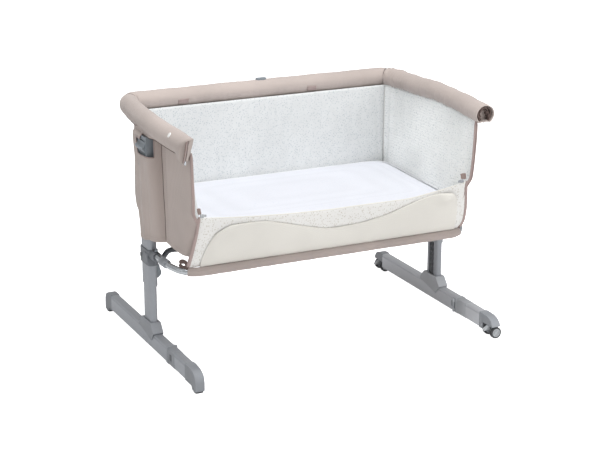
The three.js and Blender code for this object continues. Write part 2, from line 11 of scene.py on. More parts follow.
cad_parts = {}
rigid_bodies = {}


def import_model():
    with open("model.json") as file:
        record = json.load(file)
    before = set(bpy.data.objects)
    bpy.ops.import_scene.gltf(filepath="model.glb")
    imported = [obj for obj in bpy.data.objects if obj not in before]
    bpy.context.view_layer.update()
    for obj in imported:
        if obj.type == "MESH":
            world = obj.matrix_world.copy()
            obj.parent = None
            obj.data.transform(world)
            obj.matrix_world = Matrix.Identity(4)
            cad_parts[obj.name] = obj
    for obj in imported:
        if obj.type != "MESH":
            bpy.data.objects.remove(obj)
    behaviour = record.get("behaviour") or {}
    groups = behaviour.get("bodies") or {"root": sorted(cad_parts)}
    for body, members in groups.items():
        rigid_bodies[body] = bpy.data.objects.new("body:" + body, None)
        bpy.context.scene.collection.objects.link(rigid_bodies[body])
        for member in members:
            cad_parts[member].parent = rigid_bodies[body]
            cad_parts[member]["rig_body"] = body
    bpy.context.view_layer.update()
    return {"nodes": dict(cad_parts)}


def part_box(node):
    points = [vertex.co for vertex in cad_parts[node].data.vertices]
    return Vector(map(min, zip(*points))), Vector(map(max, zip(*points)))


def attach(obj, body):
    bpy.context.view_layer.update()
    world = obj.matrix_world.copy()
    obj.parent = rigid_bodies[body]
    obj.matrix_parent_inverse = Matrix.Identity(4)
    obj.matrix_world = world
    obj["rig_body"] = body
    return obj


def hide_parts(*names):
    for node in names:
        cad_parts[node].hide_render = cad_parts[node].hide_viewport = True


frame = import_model()

# ---- Camera ----
CAMERA_PLACE = (-1.8212, -3.8072, 1.5936)
CAMERA_TURN, CAMERA_TILT = math.radians(25.63), math.radians(17.16)
LENS, SENSOR = 96, 36

# ---- Driving dimensions ----
LEG_X = 0.438
RAIL_Z = 0.627
RAIL_R = 0.0262
BACK_Y = 0.245
FRONT_FOOT = Vector((0, -0.190, 0.279))
FRONT_LEAN = math.radians(19.3)
BOARD_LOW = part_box("base_board")[0].z
BOARD_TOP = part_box("base_board")[1].z
MATTRESS_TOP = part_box("mattress")[1].z
CLOTH, THIN_CLOTH = 0.0016, 0.0012
STITCH_PITCH = 0.0056
RAIL_STEP = 0.0035  # between the rings of the rail's covers
TUBE_R, TUBE_BORE = 0.0085, 0.007  # the drop side's tube
LOOP_R, LOOP_BORE = 0.007, 0.0056  # the loops under the base
RAIL_TUBE_R, RAIL_TUBE_BORE = 0.0138, 0.0122
COLUMN_HALF_X = 0.010
FOOT_HALF_X, FOOT_HALF_Z, FOOT_CORNER_R, FOOT_WALL = 0.0125, 0.0225, 0.0050, 0.002
MATTRESS_FRONT, MATTRESS_BACK = -0.1895, 0.2135
MATTRESS_VOXEL, MATTRESS_SWELL = 0.006, 0.0022
BEVEL_ANGLE = 35
HEM_OUT, HEM_DROP = 0.0100, 0.0225  # from the rail's middle to its cover's hem
SIDES = [("left", -1), ("right", 1)]
SIDEWAYS, BACKWARD, UP = Vector((1, 0, 0)), Vector((0, 1, 0)), Vector((0, 0, 1))


# ---- Camera, floor and light ----
def new_object(name, data):
    item = bpy.data.objects.new(name, data)
    bpy.context.scene.collection.objects.link(item)
    return item


def aim(item, place, along):
    """Places a camera or lamp that looks along a direction."""
    item.location = place
    item.rotation_mode = "QUATERNION"
    item.rotation_quaternion = along.to_track_quat("-Z", "Y")


def add_camera():
    data = bpy.data.cameras.new("camera")
    data.lens = LENS
    data.sensor_width = SENSOR
    data.clip_end = 100
    camera = new_object("camera", data)
    level = math.cos(CAMERA_TILT)
    look = (math.sin(CAMERA_TURN) * level, math.cos(CAMERA_TURN) * level, -math.sin(CAMERA_TILT))
    aim(camera, CAMERA_PLACE, Vector(look))
    bpy.context.scene.camera = camera


def add_light(name, place, target, size, power):
    data = bpy.data.lights.new(name, "AREA")
    data.shape = "DISK"
    data.size = size
    data.energy = power
    aim(new_object(name, data), place, Vector(target) - Vector(place))


def add_studio():
    world = bpy.data.worlds.new("studio")
    world.use_nodes = True
    background = world.node_tree.nodes["Background"]
    background.inputs["Color"].default_value = (1, 1, 1, 1)
    background.inputs["Strength"].default_value = 0.52
    bpy.context.scene.world = world
    add_light("overhead_light", (-0.25, -0.5, 3.3), (0.05, 0, 0.3), 1.8, 60)
    add_light("front_light", (1.4, -3.6, 2.0), (0, 0, 0.4), 2.2, 50)
    add_light("left_light", (-3.2, -0.6, 1.8), (-0.2, 0, 0.4), 1.6, 4)
    bpy.context.scene.view_settings.view_transform = "Standard"
    bpy.context.scene.view_settings.look = "None"


# ---- Materials ----
def linear(red, green, blue):
    """A colour given as 0 to 255 display values."""
    channels = [c / 255 for c in (red, green, blue)]
    return [c / 12.92 if c <= 0.04045 else ((c + 0.055) / 1.055) ** 2.4 for c in channels] + [1.0]


def tint(shade, share=1.0, plus=0.0):
    return linear(*[min(255, c * share + plus) for c in shade])


class Finish:
    """One material and the nodes that are added to it."""

    def __init__(self, name, roughness, metallic=0.0):
        self.material = bpy.data.materials.new(name)
        self.material.use_nodes = True
        self.tree = self.material.node_tree
        self.surface = self.tree.nodes["Principled BSDF"]
        self.surface.inputs["Metallic"].default_value = metallic
        self.surface.inputs["Roughness"].default_value = roughness
        self.place = self.add("ShaderNodeTexCoord").outputs["Object"]

    def add(self, kind, **settings):
        node = self.tree.nodes.new(kind)
        for key, value in settings.items():
            setattr(node, key, value)
        return node

    def link(self, output, target):
        self.tree.links.new(output, target)

    def feed(self, socket, value):
        if isinstance(value, bpy.types.NodeSocket):
            self.link(value, socket)
        else:
            socket.default_value = value

    def math(self, operation, a, b=0.0):
        node = self.add("ShaderNodeMath", operation=operation)
        self.feed(node.inputs[0], a)
        self.feed(node.inputs[1], b)
        return node.outputs[0]

    def stretched(self, scale):
        node = self.add("ShaderNodeMapping")
        self.link(self.place, node.inputs["Vector"])
        node.inputs["Scale"].default_value = scale
        return node.outputs["Vector"]

    def noise(self, scale, detail=2.0, stretch=None):
        node = self.add("ShaderNodeTexNoise")
        self.link(self.stretched(stretch) if stretch else self.place, node.inputs["Vector"])
        node.inputs["Scale"].default_value = scale
        node.inputs["Detail"].default_value = detail
        return node.outputs["Fac"]

    def ramp(self, value, low, high):
        node = self.add("ShaderNodeMapRange", interpolation_type="SMOOTHSTEP")
        self.link(value, node.inputs["Value"])
        node.inputs["From Min"].default_value = low
        node.inputs["From Max"].default_value = high
        return node.outputs["Result"]

    def mix(self, share, first, second):
        node = self.add("ShaderNodeMix", data_type="RGBA")
        self.feed(node.inputs["Factor"], share)
        self.feed(node.inputs[6], first)
        self.feed(node.inputs[7], second)
        return node.outputs[2]

    def blend(self, mask, strength, first, second):
        """first, with second over it where mask is one."""
        return self.mix(self.math("MULTIPLY", mask, strength), first, second)

    def colour(self, value):
        self.feed(self.surface.inputs["Base Color"], value)

    def bump(self, height, distance, strength=1.0, under=None):
        node = self.add("ShaderNodeBump")
        node.inputs["Strength"].default_value = strength
        node.inputs["Distance"].default_value = distance
        self.link(height, node.inputs["Height"])
        if under is not None:
            self.link(under, node.inputs["Normal"])
        self.link(node.outputs["Normal"], self.surface.inputs["Normal"])
        return node.outputs["Normal"]

    def axes(self):
        split = self.add("ShaderNodeSeparateXYZ")
        self.link(self.place, split.inputs[0])
        return split.outputs

    def wave(self, axis, pitch):
        return self.math("SINE", self.math("MULTIPLY", axis, 2 * math.pi / pitch))

    def threads(self, pitch):
        """Crossing threads: a bump of one for every pitch along each axis."""
        x, y, z = [self.wave(axis, pitch) for axis in self.axes()]
        return self.math("MULTIPLY", self.math("ADD", self.math("ADD", x, y), z), 0.33)

    def clouded(self, shade, scale):
        return self.mix(self.ramp(self.noise(scale, 3.0), 0.3, 0.7), tint(shade, 0.95), tint(shade))

    def scuffed(self, roughness, scale, detail, share):
        """Varies the roughness by share, in spots."""
        spots = self.math("MULTIPLY", self.noise(scale, detail), share)
        rough = self.math("ADD", spots, roughness - share / 2)
        self.link(rough, self.surface.inputs["Roughness"])

    def edges(self):
        """One along outer edges, from the mesh's own curvature."""
        return self.ramp(self.add("ShaderNodeNewGeometry").outputs["Pointiness"], 0.505, 0.56)


def metal(name, shade, roughness, metallic, grain):
    """Satin metal, with fine lines along grain's long axis and edges rubbed brighter."""
    finish = Finish(name, roughness, metallic)
    lines = finish.noise(900, 2.0, grain)
    lined = finish.blend(lines, 0.16, finish.clouded(shade, 7), tint(shade, 0.8))
    finish.colour(finish.blend(finish.edges(), 0.55, lined, tint(shade, 1.2)))
    finish.scuffed(roughness, 60, 3.0, 0.16)
    finish.bump(lines, 0.00006, 0.5)
    return finish.material


def plastic(name, shade, roughness):
    """Moulded plastic with a fine spark-eroded grain and slightly polished edges."""
    finish = Finish(name, roughness)
    grain = finish.noise(1600, 1.0)
    base = finish.clouded(shade, 9)
    finish.colour(finish.blend(finish.edges(), 0.6, base, tint(shade, 1.16, 4)))
    finish.scuffed(roughness, 45, 4.0, 0.2)
    finish.bump(grain, 0.00012, 0.6)
    return finish.material


def fabric(name, shade, pitch=0.0009, sheen=0.25, shift=0.04, dots=None, ribs=None):
    """Woven cloth. dots is (shade, cell, radius) for a print, and ribs is the pitch of a crosswise rib."""
    finish = Finish(name, 0.92)
    finish.surface.inputs["Sheen Weight"].default_value = sheen
    finish.surface.inputs["Sheen Roughness"].default_value = 0.45
    finish.surface.inputs["Specular IOR Level"].default_value = 0.25
    weave = finish.threads(pitch)
    slub = finish.noise(260, 2.0)
    cloud = finish.noise(5, 4.0)
    darker, lighter = tint(shade, 1 - shift), tint(shade, 1 + shift * 0.5)
    base = finish.mix(finish.ramp(cloud, 0.3, 0.7), darker, lighter)
    # Painted shade: the weave's low gaps between the threads are made darker.
    woven = finish.blend(finish.ramp(weave, 0.1, -0.7), 0.16, base, tint(shade, 0.8))
    woven = finish.blend(finish.ramp(slub, 0.5, 0.75), 0.12, woven, lighter)
    if ribs:
        rib = finish.wave(finish.axes()[2], ribs)
        # Painted shade: the rib's troughs are made darker.
        woven = finish.blend(finish.ramp(rib, -0.2, -1.0), 0.5, woven, darker)
    if dots:
        dot_shade, cell, radius = dots
        cells = finish.add("ShaderNodeTexVoronoi")
        finish.link(finish.place, cells.inputs["Vector"])
        cells.inputs["Scale"].default_value = 1 / cell
        spot = finish.ramp(cells.outputs["Distance"], radius / cell, 0.72 * radius / cell)
        tone = finish.add("ShaderNodeSeparateColor")
        finish.link(cells.outputs["Color"], tone.inputs[0])
        depth = finish.math("ADD", finish.math("MULTIPLY", tone.outputs[0], 0.5), 0.5)
        woven = finish.blend(spot, depth, woven, tint(dot_shade))
    finish.colour(woven)
    soft = finish.bump(finish.noise(28, 3.0), 0.004, 0.14)
    if ribs:
        soft = finish.bump(rib, 0.0004, 0.5, soft)
    finish.bump(weave, pitch * 0.22, 0.55, soft)
    return finish.material


def rubber_material():
    finish = Finish("rubber", 0.78)
    cloud = finish.noise(30, 4.0)
    dusty = finish.mix(finish.ramp(cloud, 0.35, 0.75), linear(46, 48, 50), linear(66, 68, 70))
    finish.colour(finish.blend(finish.edges(), 0.5, dusty, linear(92, 94, 96)))
    finish.bump(finish.noise(700, 2.0), 0.0002, 0.6)
    return finish.material


def floor_material():
    finish = Finish("floor", 0.85)
    finish.colour(finish.mix(finish.noise(0.8, 2.0), linear(246, 246, 247), linear(250, 250, 250)))
    finish.surface.inputs["Emission Color"].default_value = (1, 1, 1, 1)
    seen = finish.add("ShaderNodeLightPath").outputs["Is Camera Ray"]
    finish.link(finish.math("MULTIPLY", seen, 0.9), finish.surface.inputs["Emission Strength"])
    return finish.material


TAUPE = (190, 178, 172)
PALE_DOT = (190, 197, 200)
ALUMINIUM = metal("aluminium", (152, 155, 160), 0.42, 0.55, (1, 0.02, 1))
# Painted light: a lighter copy of the aluminium for the right foot's bars, which the tub shades.
PAINTED_LIGHT_ALUMINIUM = metal("painted_light_aluminium", (183, 185, 189), 0.42, 0.55, (1, 0.02, 1))
UPRIGHT = metal("upright_aluminium", (145, 148, 153), 0.42, 0.55, (1, 1, 0.02))
BRIGHT_TUBE = metal("bright_tube", (188, 192, 196), 0.25, 0.85, (1, 1, 1))
DARK_TUBE = metal("dark_tube", (82, 84, 88), 0.4, 0.3, (0.3, 0.3, 0.3))
GREY_PLASTIC = plastic("grey_plastic", (137, 140, 145), 0.5)
# Painted light: a lighter copy of the grey plastic for the right knuckle and fold socket, which the tub
# shades.
PAINTED_LIGHT_PLASTIC = plastic("painted_light_plastic", (170, 173, 177), 0.5)
COLLAR_PLASTIC = plastic("collar_plastic", (110, 113, 118), 0.5)
CAP_PLASTIC = plastic("cap_plastic", (126, 129, 134), 0.5)
BUTTON_PLASTIC = plastic("button_plastic", (78, 81, 85), 0.45)
DARK_PLASTIC = plastic("dark_plastic", (124, 131, 137), 0.45)
LIGHT_PLASTIC = plastic("light_plastic", (160, 163, 166), 0.48)
# Near-black plastic: painted shade for the collar's height window, a slot that lies in shadow.
SLOT_SHADE_PLASTIC = plastic("painted_slot_shade", (54, 56, 59), 0.5)
WHITE_PLASTIC = plastic("white_plastic", (240, 240, 238), 0.4)
RUBBER = rubber_material()
TAUPE_FABRIC = fabric("taupe_fabric", TAUPE)
TAUPE_WEBBING = fabric("taupe_webbing", (142, 125, 119), pitch=0.0016, sheen=0.1)
# A darker copy of the taupe: painted shade for the cloth rolled up inside the right cover's open end.
SHADED_ROLLED_FABRIC = fabric("painted_shade_rolled_fabric", (120, 104, 99), sheen=0.1)
DARK_WEBBING = fabric("dark_webbing", (106, 90, 85), pitch=0.0016, sheen=0.1)
BAND_FABRIC = fabric("band_fabric", (172, 160, 155))
# Dark taupe for seams and the zip's teeth, and for thin strips of painted shadow along creases and hems.
SEAM_AND_SHADE_LINE = fabric("seam_and_shade_line", (112, 100, 96), pitch=0.0004, sheen=0.1)
BINDING = fabric("binding", (172, 154, 150), pitch=0.0006, sheen=0.3)
LINING_FABRIC = fabric(
    "lining_fabric", (228, 230, 230), sheen=0.15, shift=0.015, dots=(PALE_DOT, 0.0051, 0.0017),
)
RIBBED_LINING = fabric(
    "ribbed_lining", (241, 243, 242), sheen=0.15, shift=0.05, dots=(PALE_DOT, 0.0056, 0.0016), ribs=0.0075
)
CREAM_FABRIC = fabric("cream_fabric", (225, 222, 215), pitch=0.0011, sheen=0.2, shift=0.02)
CREAM_HEM = fabric("cream_hem", (231, 228, 221), pitch=0.0009, sheen=0.2, shift=0.02)
FRONT_LINING = fabric(
    "front_lining", (232, 231, 228), sheen=0.15, shift=0.015, dots=((200, 195, 186), 0.0058, 0.0020),
)
PIPING_WHITE = fabric("white_piping", (240, 241, 244), pitch=0.0006, sheen=0.2, shift=0.01)
MATTRESS_FABRIC = fabric(
    "mattress_fabric", (222, 224, 231), sheen=0.15, shift=0.012, dots=((212, 216, 226), 0.010, 0.0022)
)
THREAD = fabric("thread", (160, 146, 141), pitch=0.0004, sheen=0.4)
PALE_THREAD = fabric("pale_thread", (222, 221, 217), pitch=0.0004, sheen=0.4)


# ---- Mesh helpers ----
def new_mesh(name, vertices, faces):
    mesh = bpy.data.meshes.new(name)
    mesh.from_pydata([tuple(v) for v in vertices], [], faces)
    return mesh


def add_piece(name, vertices, faces, material, slot=None, replaces=(), angle=40, body="bed"):
    mesh = new_mesh(name, vertices, faces)
    mesh.validate()
    piece = new_object(name, mesh)
    tidy(mesh)
    dress(piece, material, body, slot, replaces, angle)
    return piece


def tidy(mesh):
    """Turns the faces of a mesh the same way, outwards where it is closed."""
    shape = bmesh.new()
    shape.from_mesh(mesh)
    bmesh.ops.recalc_face_normals(shape, faces=shape.faces)
    shape.to_mesh(mesh)
    shape.free()


def dress(piece, material, body, slot=None, replaces=(), angle=40):
    piece.data.materials.clear()
    piece.data.materials.append(material)
    piece.data.shade_smooth()
    piece.data.set_sharp_from_angle(angle=math.radians(angle))
    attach(piece, body)
    if replaces:
        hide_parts(*replaces)


def modifier(piece, kind, **settings):
    added = piece.modifiers.new(kind.lower(), kind)
    for key, value in settings.items():
        setattr(added, key, value)


def grid(point, us, vs, skip=None):
    """Vertices and faces of the surface point(u, v), without the cells where skip(u, v) is true."""
    vertices = [point(u, v) for u in us for v in vs]
    faces = []
    rows = len(vs)
    for i in range(len(us) - 1):
        for j in range(rows - 1):
            if skip and skip((us[i] + us[i + 1]) / 2, (vs[j] + vs[j + 1]) / 2):
                continue
            a = i * rows + j
            faces.append((a, a + rows, a + rows + 1, a + 1))
    return vertices, faces


def cloth(name, point, us, vs, material, slot, replaces=(), thickness=CLOTH, offset=0.0, skip=None):
    """A sheet of cloth over the surface point(u, v)."""
    piece = add_piece(name, *grid(point, us, vs, skip), material, slot, replaces)
    modifier(piece, "SOLIDIFY", thickness=thickness, offset=offset, use_even_offset=True)
    return piece


def smooth_path(points, spacing=0.004):
    """Evenly spaced points on a smooth curve through the given ones."""
    points = [Vector(p) for p in points]
    ends = [2 * points[0] - points[1]] + points + [2 * points[-1] - points[-2]]
    dense = []
    for a, b, c, d in zip(ends, ends[1:], ends[2:], ends[3:]):
        for step in range(24):
            t = step / 24
            dense.append(
                0.5 * (
                    2 * b + (c - a) * t + (2 * a - 5 * b + 4 * c - d) * t**2 + (3 * b - a - 3 * c + d) * t**3
                )
            )
    dense.append(points[-1])
    return spaced(dense, spacing)


def spaced(points, spacing):
    array = np.array(points, float)
    travelled = np.concatenate([[0], np.cumsum(np.linalg.norm(np.diff(array, axis=0), axis=1))])
    count = max(2, int(round(travelled[-1] / spacing)) + 1)
    marks = np.linspace(0, travelled[-1], count)
    return [Vector([np.interp(m, travelled, array[:, k]) for k in range(3)]) for m in marks]


def frames(path, up=UP):
    """(point, across, up) at each point of a path, across being square to it and to up."""
    out = []
    for i, point in enumerate(path):
        along = (path[min(i + 1, len(path) - 1)] - path[max(i - 1, 0)]).normalized()
        across = up.cross(along)
        if across.length < 1e-4:
            across = SIDEWAYS.copy()
        across.normalize()
        out.append((point, across, along.cross(across)))
    return out


def skin(rings, closed=False):
    """Vertices and faces over rings of points, with end caps, or closed back to the first ring."""
    count, total = len(rings[0]), len(rings) * len(rings[0])
    vertices = [v for ring in rings for v in ring]
    faces = []
    for i in range(len(rings) if closed else len(rings) - 1):
        for j in range(count):
            a, b = i * count + j, i * count + (j + 1) % count
            faces.append((a, b, (b + count) % total, (a + count) % total))
    if not closed:
        faces.append(tuple(reversed(range(count))))
        faces.append(tuple(range((len(rings) - 1) * count, len(rings) * count)))
    return vertices, faces


def turns(count):
    """(cosine, sine) at even steps round a circle."""
    return [(math.cos(2 * math.pi * k / count), math.sin(2 * math.pi * k / count)) for k in range(count)]


def ellipse(width, height, sides, power=1.0):
    return [
        (width / 2 * math.copysign(abs(c) ** power, c), height / 2 * math.copysign(abs(s) ** power, s))
        for c, s in turns(sides)
    ]


def strip(name, path, width, height, material, up=UP, sides=12, power=1.0, **extra):
    """A flat or round strip along a path, its ends drawn in."""
    def section(t):
        fade = min(1.0, 0.35 + 12 * min(t, 1 - t))
        return [(a * fade, b * fade) for a, b in ellipse(width, height, sides, power)]
    rings = [
        [point + across * a + above * b for a, b in section(i / max(1, len(path) - 1))]
        for i, (point, across, above) in enumerate(frames(path, up))
    ]
    return add_piece(name, *skin(rings), material, **extra)


def stitches(name, lines, material, length=0.0034, thickness=0.0007, pitch=STITCH_PITCH):
    """Rows of short stitches along lines of points that lie just over the cloth."""
    vertices, faces = [], []
    for line in lines:
        run = spaced(line, pitch)
        for point, ahead in zip(run, run[1:]):
            along = (ahead - point).normalized() * length / 2
            aside = UP.cross(along)
            if aside.length < 1e-7:
                aside = SIDEWAYS
            aside = aside.normalized() * thickness
            above = along.cross(aside).normalized() * thickness * 0.7
            base = len(vertices)
            for end, swell in ((-1.0, 0.25), (-0.6, 1.0), (0.6, 1.0), (1.0, 0.25)):
                for a, b in ((1, 0), (0, 1), (-1, 0), (0, -1)):
                    vertices.append(point + along * end + (aside * a + above * b) * swell * 0.5)
            for ring in range(3):
                for k in range(4):
                    n = (k + 1) % 4
                    faces.append((
                        base + ring * 4 + k,
                        base + ring * 4 + n,
                        base + ring * 4 + 4 + n,
                        base + ring * 4 + 4 + k,
                    ))
            faces.append(tuple(base + k for k in (3, 2, 1, 0)))
            faces.append(tuple(base + 12 + k for k in range(4)))
    return add_piece(name, vertices, faces, material)


def smoothstep(low, high, value):
    t = min(1.0, max(0.0, (value - low) / (high - low)))
    return t * t * (3 - 2 * t)


def lerp(a, b, t):
    return a + (b - a) * t


def curve_through(points):
    """A smooth function through (x, y) points, with no overshoot."""
    xs, ys = zip(*points)

    def value(x):
        if x <= xs[0]:
            return ys[0]
        if x >= xs[-1]:
            return ys[-1]
        k = max(i for i in range(len(xs) - 1) if xs[i] <= x)
        slopes = [(ys[i + 1] - ys[i]) / (xs[i + 1] - xs[i]) for i in range(len(xs) - 1)]

        def tangent(i):
            if i in (0, len(xs) - 1):
                return slopes[min(i, len(slopes) - 1)]
            before, after = slopes[i - 1], slopes[i]
            return 0.0 if before * after <= 0 else 2 * before * after / (before + after)

        width = xs[k + 1] - xs[k]
        t = (x - xs[k]) / width
        return (
            (2 * t**3 - 3 * t**2 + 1) * ys[k]
            + (t**3 - 2 * t**2 + t) * width * tangent(k)
            + (3 * t**2 - 2 * t**3) * ys[k + 1]
            + (t**3 - t**2) * width * tangent(k + 1)
        )

    return value


def wobble(x, y, z, scale, seed=0.0):
    return noise.noise(Vector((x * scale + seed, y * scale - seed, z * scale + 2 * seed)))


# ---- Hard parts: the CAD shape with rounded edges ----
def rounded(node, material, slot, radius):
    """A copy of a CAD node, welded, with its flats made whole and its edges rounded."""
    source = frame["nodes"][node]
    mesh = source.data.copy()
    shape = bmesh.new()
    shape.from_mesh(mesh)
    bmesh.ops.remove_doubles(shape, verts=shape.verts, dist=0.00002)
    bmesh.ops.dissolve_limit(
        shape, angle_limit=math.radians(1.0), verts=shape.verts, edges=shape.edges, delimit={"NORMAL"}
    )
    shape.to_mesh(mesh)
    shape.free()
    for name in [a.name for a in mesh.attributes if a.name == "custom_normal"]:
        mesh.attributes.remove(mesh.attributes[name])
    piece = new_object(f"{node}_body", mesh)
    dress(piece, material, source["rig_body"], slot, (node,), BEVEL_ANGLE)
    modifier(
        piece, "BEVEL", width=radius, segments=2, limit_method="ANGLE", miter_outer="MITER_ARC",
        angle_limit=math.radians(BEVEL_ANGLE), harden_normals=False, use_clamp_overlap=True,
    )


def hard_parts():
    for side, _ in SIDES:
        # The right side's knuckle and fold socket take the lighter plastic, and its caps the grey one in
        # place of the darker cap plastic: painted light where the tub shades them.
        moulded, cap = (PAINTED_LIGHT_PLASTIC, GREY_PLASTIC) if side == "right" else (GREY_PLASTIC, CAP_PLASTIC)
        for part, material, slot, radius in (
            ("column", UPRIGHT, "aluminium", 0.0006),
            ("sleeve", UPRIGHT, "aluminium", 0.0006),
            ("knuckle", moulded, "grey_plastic", 0.0012),
            ("foot_front_cap", cap, "grey_plastic", 0.001),
            ("foot_rear_cap", cap, "grey_plastic", 0.001),
            ("fold_socket", moulded, "grey_plastic", 0.0008),
            ("fold_hinge", ALUMINIUM, "aluminium", 0.0004),
            ("fold_button", BUTTON_PLASTIC, "dark_plastic", 0.001),
            ("collar", COLLAR_PLASTIC, "grey_plastic", 0.0008),
            ("arm_button", DARK_PLASTIC, "dark_plastic", 0.0008),
            ("lever_housing", DARK_PLASTIC, "dark_plastic", 0.0012),
            ("height_lever", DARK_PLASTIC, "dark_plastic", 0.0008),
            ("height_latch", DARK_PLASTIC, "dark_plastic", 0.001),
            ("rail_bracket", GREY_PLASTIC, "grey_plastic", 0.0008),
        ):
            rounded(f"{side}_{part}", material, slot, radius)
    for end in ("front", "rear"):
        rounded(f"left_{end}_foot_pad", RUBBER, "rubber", 0.0012)
        rounded(f"right_{end}_brake_pedal", LIGHT_PLASTIC, "light_plastic", 0.0008)
    rounded("base_board", TAUPE_FABRIC, "board", 0.003)
    rounded("rail_coupler", DARK_PLASTIC, "dark_plastic", 0.0006)
    rounded("rail_coupler_button", DARK_PLASTIC, "dark_plastic", 0.0012)


def foot_outline(inset):
    """The foot bar's section, (x, z) from its middle: rounded corners, and a groove under each upper edge."""
    half_x, half_z, radius = FOOT_HALF_X - inset, FOOT_HALF_Z - inset, FOOT_CORNER_R - 0.6 * inset
    half = []
    for start, x, z in ((-90, half_x - radius, radius - half_z), (0, half_x - radius, half_z - radius)):
        if start == 0:
            middle = half_z - 0.0062 + 0.6 * inset
            half += [(half_x, middle - 0.0015), (half_x - 0.0016, middle - 0.0003), (half_x, middle + 0.0009)]
        for turn in range(0, 91, 15):
            angle = math.radians(start + turn)
            half.append((x + radius * math.cos(angle), z + radius * math.sin(angle)))
    return half + [(-x, z) for x, z in reversed(half)]


def foot_bars():
    """The hollow bars of the feet, as drawn sections with a groove along each side."""
    for side, s in SIDES:
        # The right foot's bars take the lighter copy of the aluminium: painted light in place of the light
        # that the tub shades off them.
        finish = PAINTED_LIGHT_ALUMINIUM if side == "right" else ALUMINIUM
        for node, body in (
            (f"{side}_foot_bar", f"{side}_leg"), (f"{side}_front_foot_bar", f"{side}_front_foot"),
        ):
            low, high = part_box(node)
            middle = (low.z + high.z) / 2
            rings = [
                [Vector((s * LEG_X + x, y, middle + z)) for x, z in foot_outline(inset)]
                for inset, y in ((0, low.y), (0, high.y), (FOOT_WALL, high.y), (FOOT_WALL, low.y))
            ]
            add_piece(f"{node}_section", *skin(rings, closed=True), finish, "aluminium", (node,), 25, body)


def lathed(profile, centre, sides=40):
    """Turns (radius, along Y) points round an axis along Y."""
    rings = [[Vector((centre.x + r * c, y, centre.z + r * s)) for r, y in profile] for c, s in turns(sides)]
    return skin(rings, closed=True)


def wheels():
    for end in ("front", "rear"):
        body = f"{end}_wheels"
        for place in ("outer", "inner"):
            node = f"right_{end}_{place}_tyre"
            low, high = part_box(node)
            centre = (low + high) / 2
            r = (high.z - low.z) / 2
            a, b = low.y, high.y
            soft = 0.0022
            bend = [(soft * math.sin(t), soft * math.cos(t)) for t in np.linspace(0, 1.57, 5)]
            tread = [(r - soft + rise, a + soft - back) for rise, back in bend]
            far = [(r - soft + back, b - soft + rise) for rise, back in bend]
            groove = [(r, centre.y - 0.0012), (r - 0.0006, centre.y), (r, centre.y + 0.0012)]
            inner = r - 0.0042
            profile = [(inner, a + 0.0004)] + tread + groove + far + [(inner, b - 0.0004)]
            add_piece(f"{node}_rubber", *lathed(profile, centre), RUBBER, "rubber", (node,), body=body)
        node = f"right_{end}_wheel_core"
        low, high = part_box(node)
        centre = (low + high) / 2
        hub = (high.z - low.z) / 2
        discs = []
        for place in ("outer", "inner"):
            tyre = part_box(f"right_{end}_{place}_tyre")
            a, b = tyre[0].y + 0.0008, tyre[1].y - 0.0008
            dish, step = 0.0008, hub * 0.78
            discs.append([
                (0.0004, a + dish), (step, a + dish), (step + 0.0006, a), (hub, a),
                (hub, b), (step + 0.0006, b), (step, b - dish), (0.0004, b - dish),
            ])
        a, b = low.y + 0.002, high.y - 0.002
        axle = [(0.0004, a), (0.004, a), (0.004, b), (0.0004, b)]
        vertices, faces = [], []
        for profile in discs + [axle]:
            more, joins = lathed(profile, centre, 36)
            faces += [tuple(k + len(vertices) for k in face) for face in joins]
            vertices += more
        add_piece(f"{node}_hub", vertices, faces, LIGHT_PLASTIC, "light_plastic", (node,), 30, body)


def round_tube(name, path, radius, bore, material, sides=24, **extra):
    """A hollow tube with rolled ends."""
    rings = []
    stations = frames(path)
    for r, order in ((radius, stations), (bore, stations[::-1])):
        for point, across, above in order:
            rings.append([point + (across * c + above * s) * r for c, s in turns(sides)])
    return add_piece(name, *skin(rings, closed=True), material, **extra)


# The drop side's tube from the middle to one end of it.
DROP_PATH = [
    (0, -0.194, 0.268), (0.2, -0.194, 0.268), (0.350, -0.194, 0.268), (0.388, -0.190, 0.2685),
    (0.414, -0.172, 0.270), (0.429, -0.140, 0.273), (0.435, -0.100, 0.276), (LEG_X, -0.066, 0.2785),
    (LEG_X, -0.047, 0.279),
]


def lower_tubes():
    whole = [(-x, y, z) for x, y, z in reversed(DROP_PATH[1:])] + DROP_PATH
    round_tube(
        "drop_side_tube_metal", smooth_path(whole), TUBE_R, TUBE_BORE, BRIGHT_TUBE,
        slot="bright_tube", replaces=("drop_side_tube",),
    )
    for side, s in SIDES:
        z = 0.3287
        front = [
            (0.412, -0.042, 0.272), (0.405, -0.056, 0.289), (0.392, -0.078, 0.298), (0.377, -0.104, 0.303),
            (0.367, -0.128, 0.318), (0.362, -0.142, z), (0.359, -0.120, z),
        ]
        loop = front + [(x, -y, h) for x, y, h in reversed(front)]
        path = smooth_path([(s * x, y, h) for x, y, h in loop])
        round_tube(
            f"{side}_base_loop_metal", path, LOOP_R, LOOP_BORE, DARK_TUBE, 18,
            slot="dark_plastic", replaces=(f"{side}_base_loop",),
        )


# ---- Top rail covers ----
RAIL_ARM = [
    (0.420, -0.275, 0.618), (0.427, -0.190, 0.6215), (0.4305, -0.100, 0.625), (0.429, 0, RAIL_Z),
    (0.421, 0.100, RAIL_Z), (0.410, 0.190, RAIL_Z),
]
RAIL_CORNER = [(0.405, 0.215, RAIL_Z), (0.3945, 0.235, RAIL_Z), (0.374, BACK_Y, RAIL_Z)]
CORNER_SEAM = Vector((0.3945, 0.235, RAIL_Z))


def rail_half(s):
    points = RAIL_ARM + RAIL_CORNER + [(0.30, BACK_Y, RAIL_Z), (0.15, BACK_Y, RAIL_Z), (0, BACK_Y, RAIL_Z)]
    return smooth_path([(s * x, y, z) for x, y, z in points], RAIL_STEP)


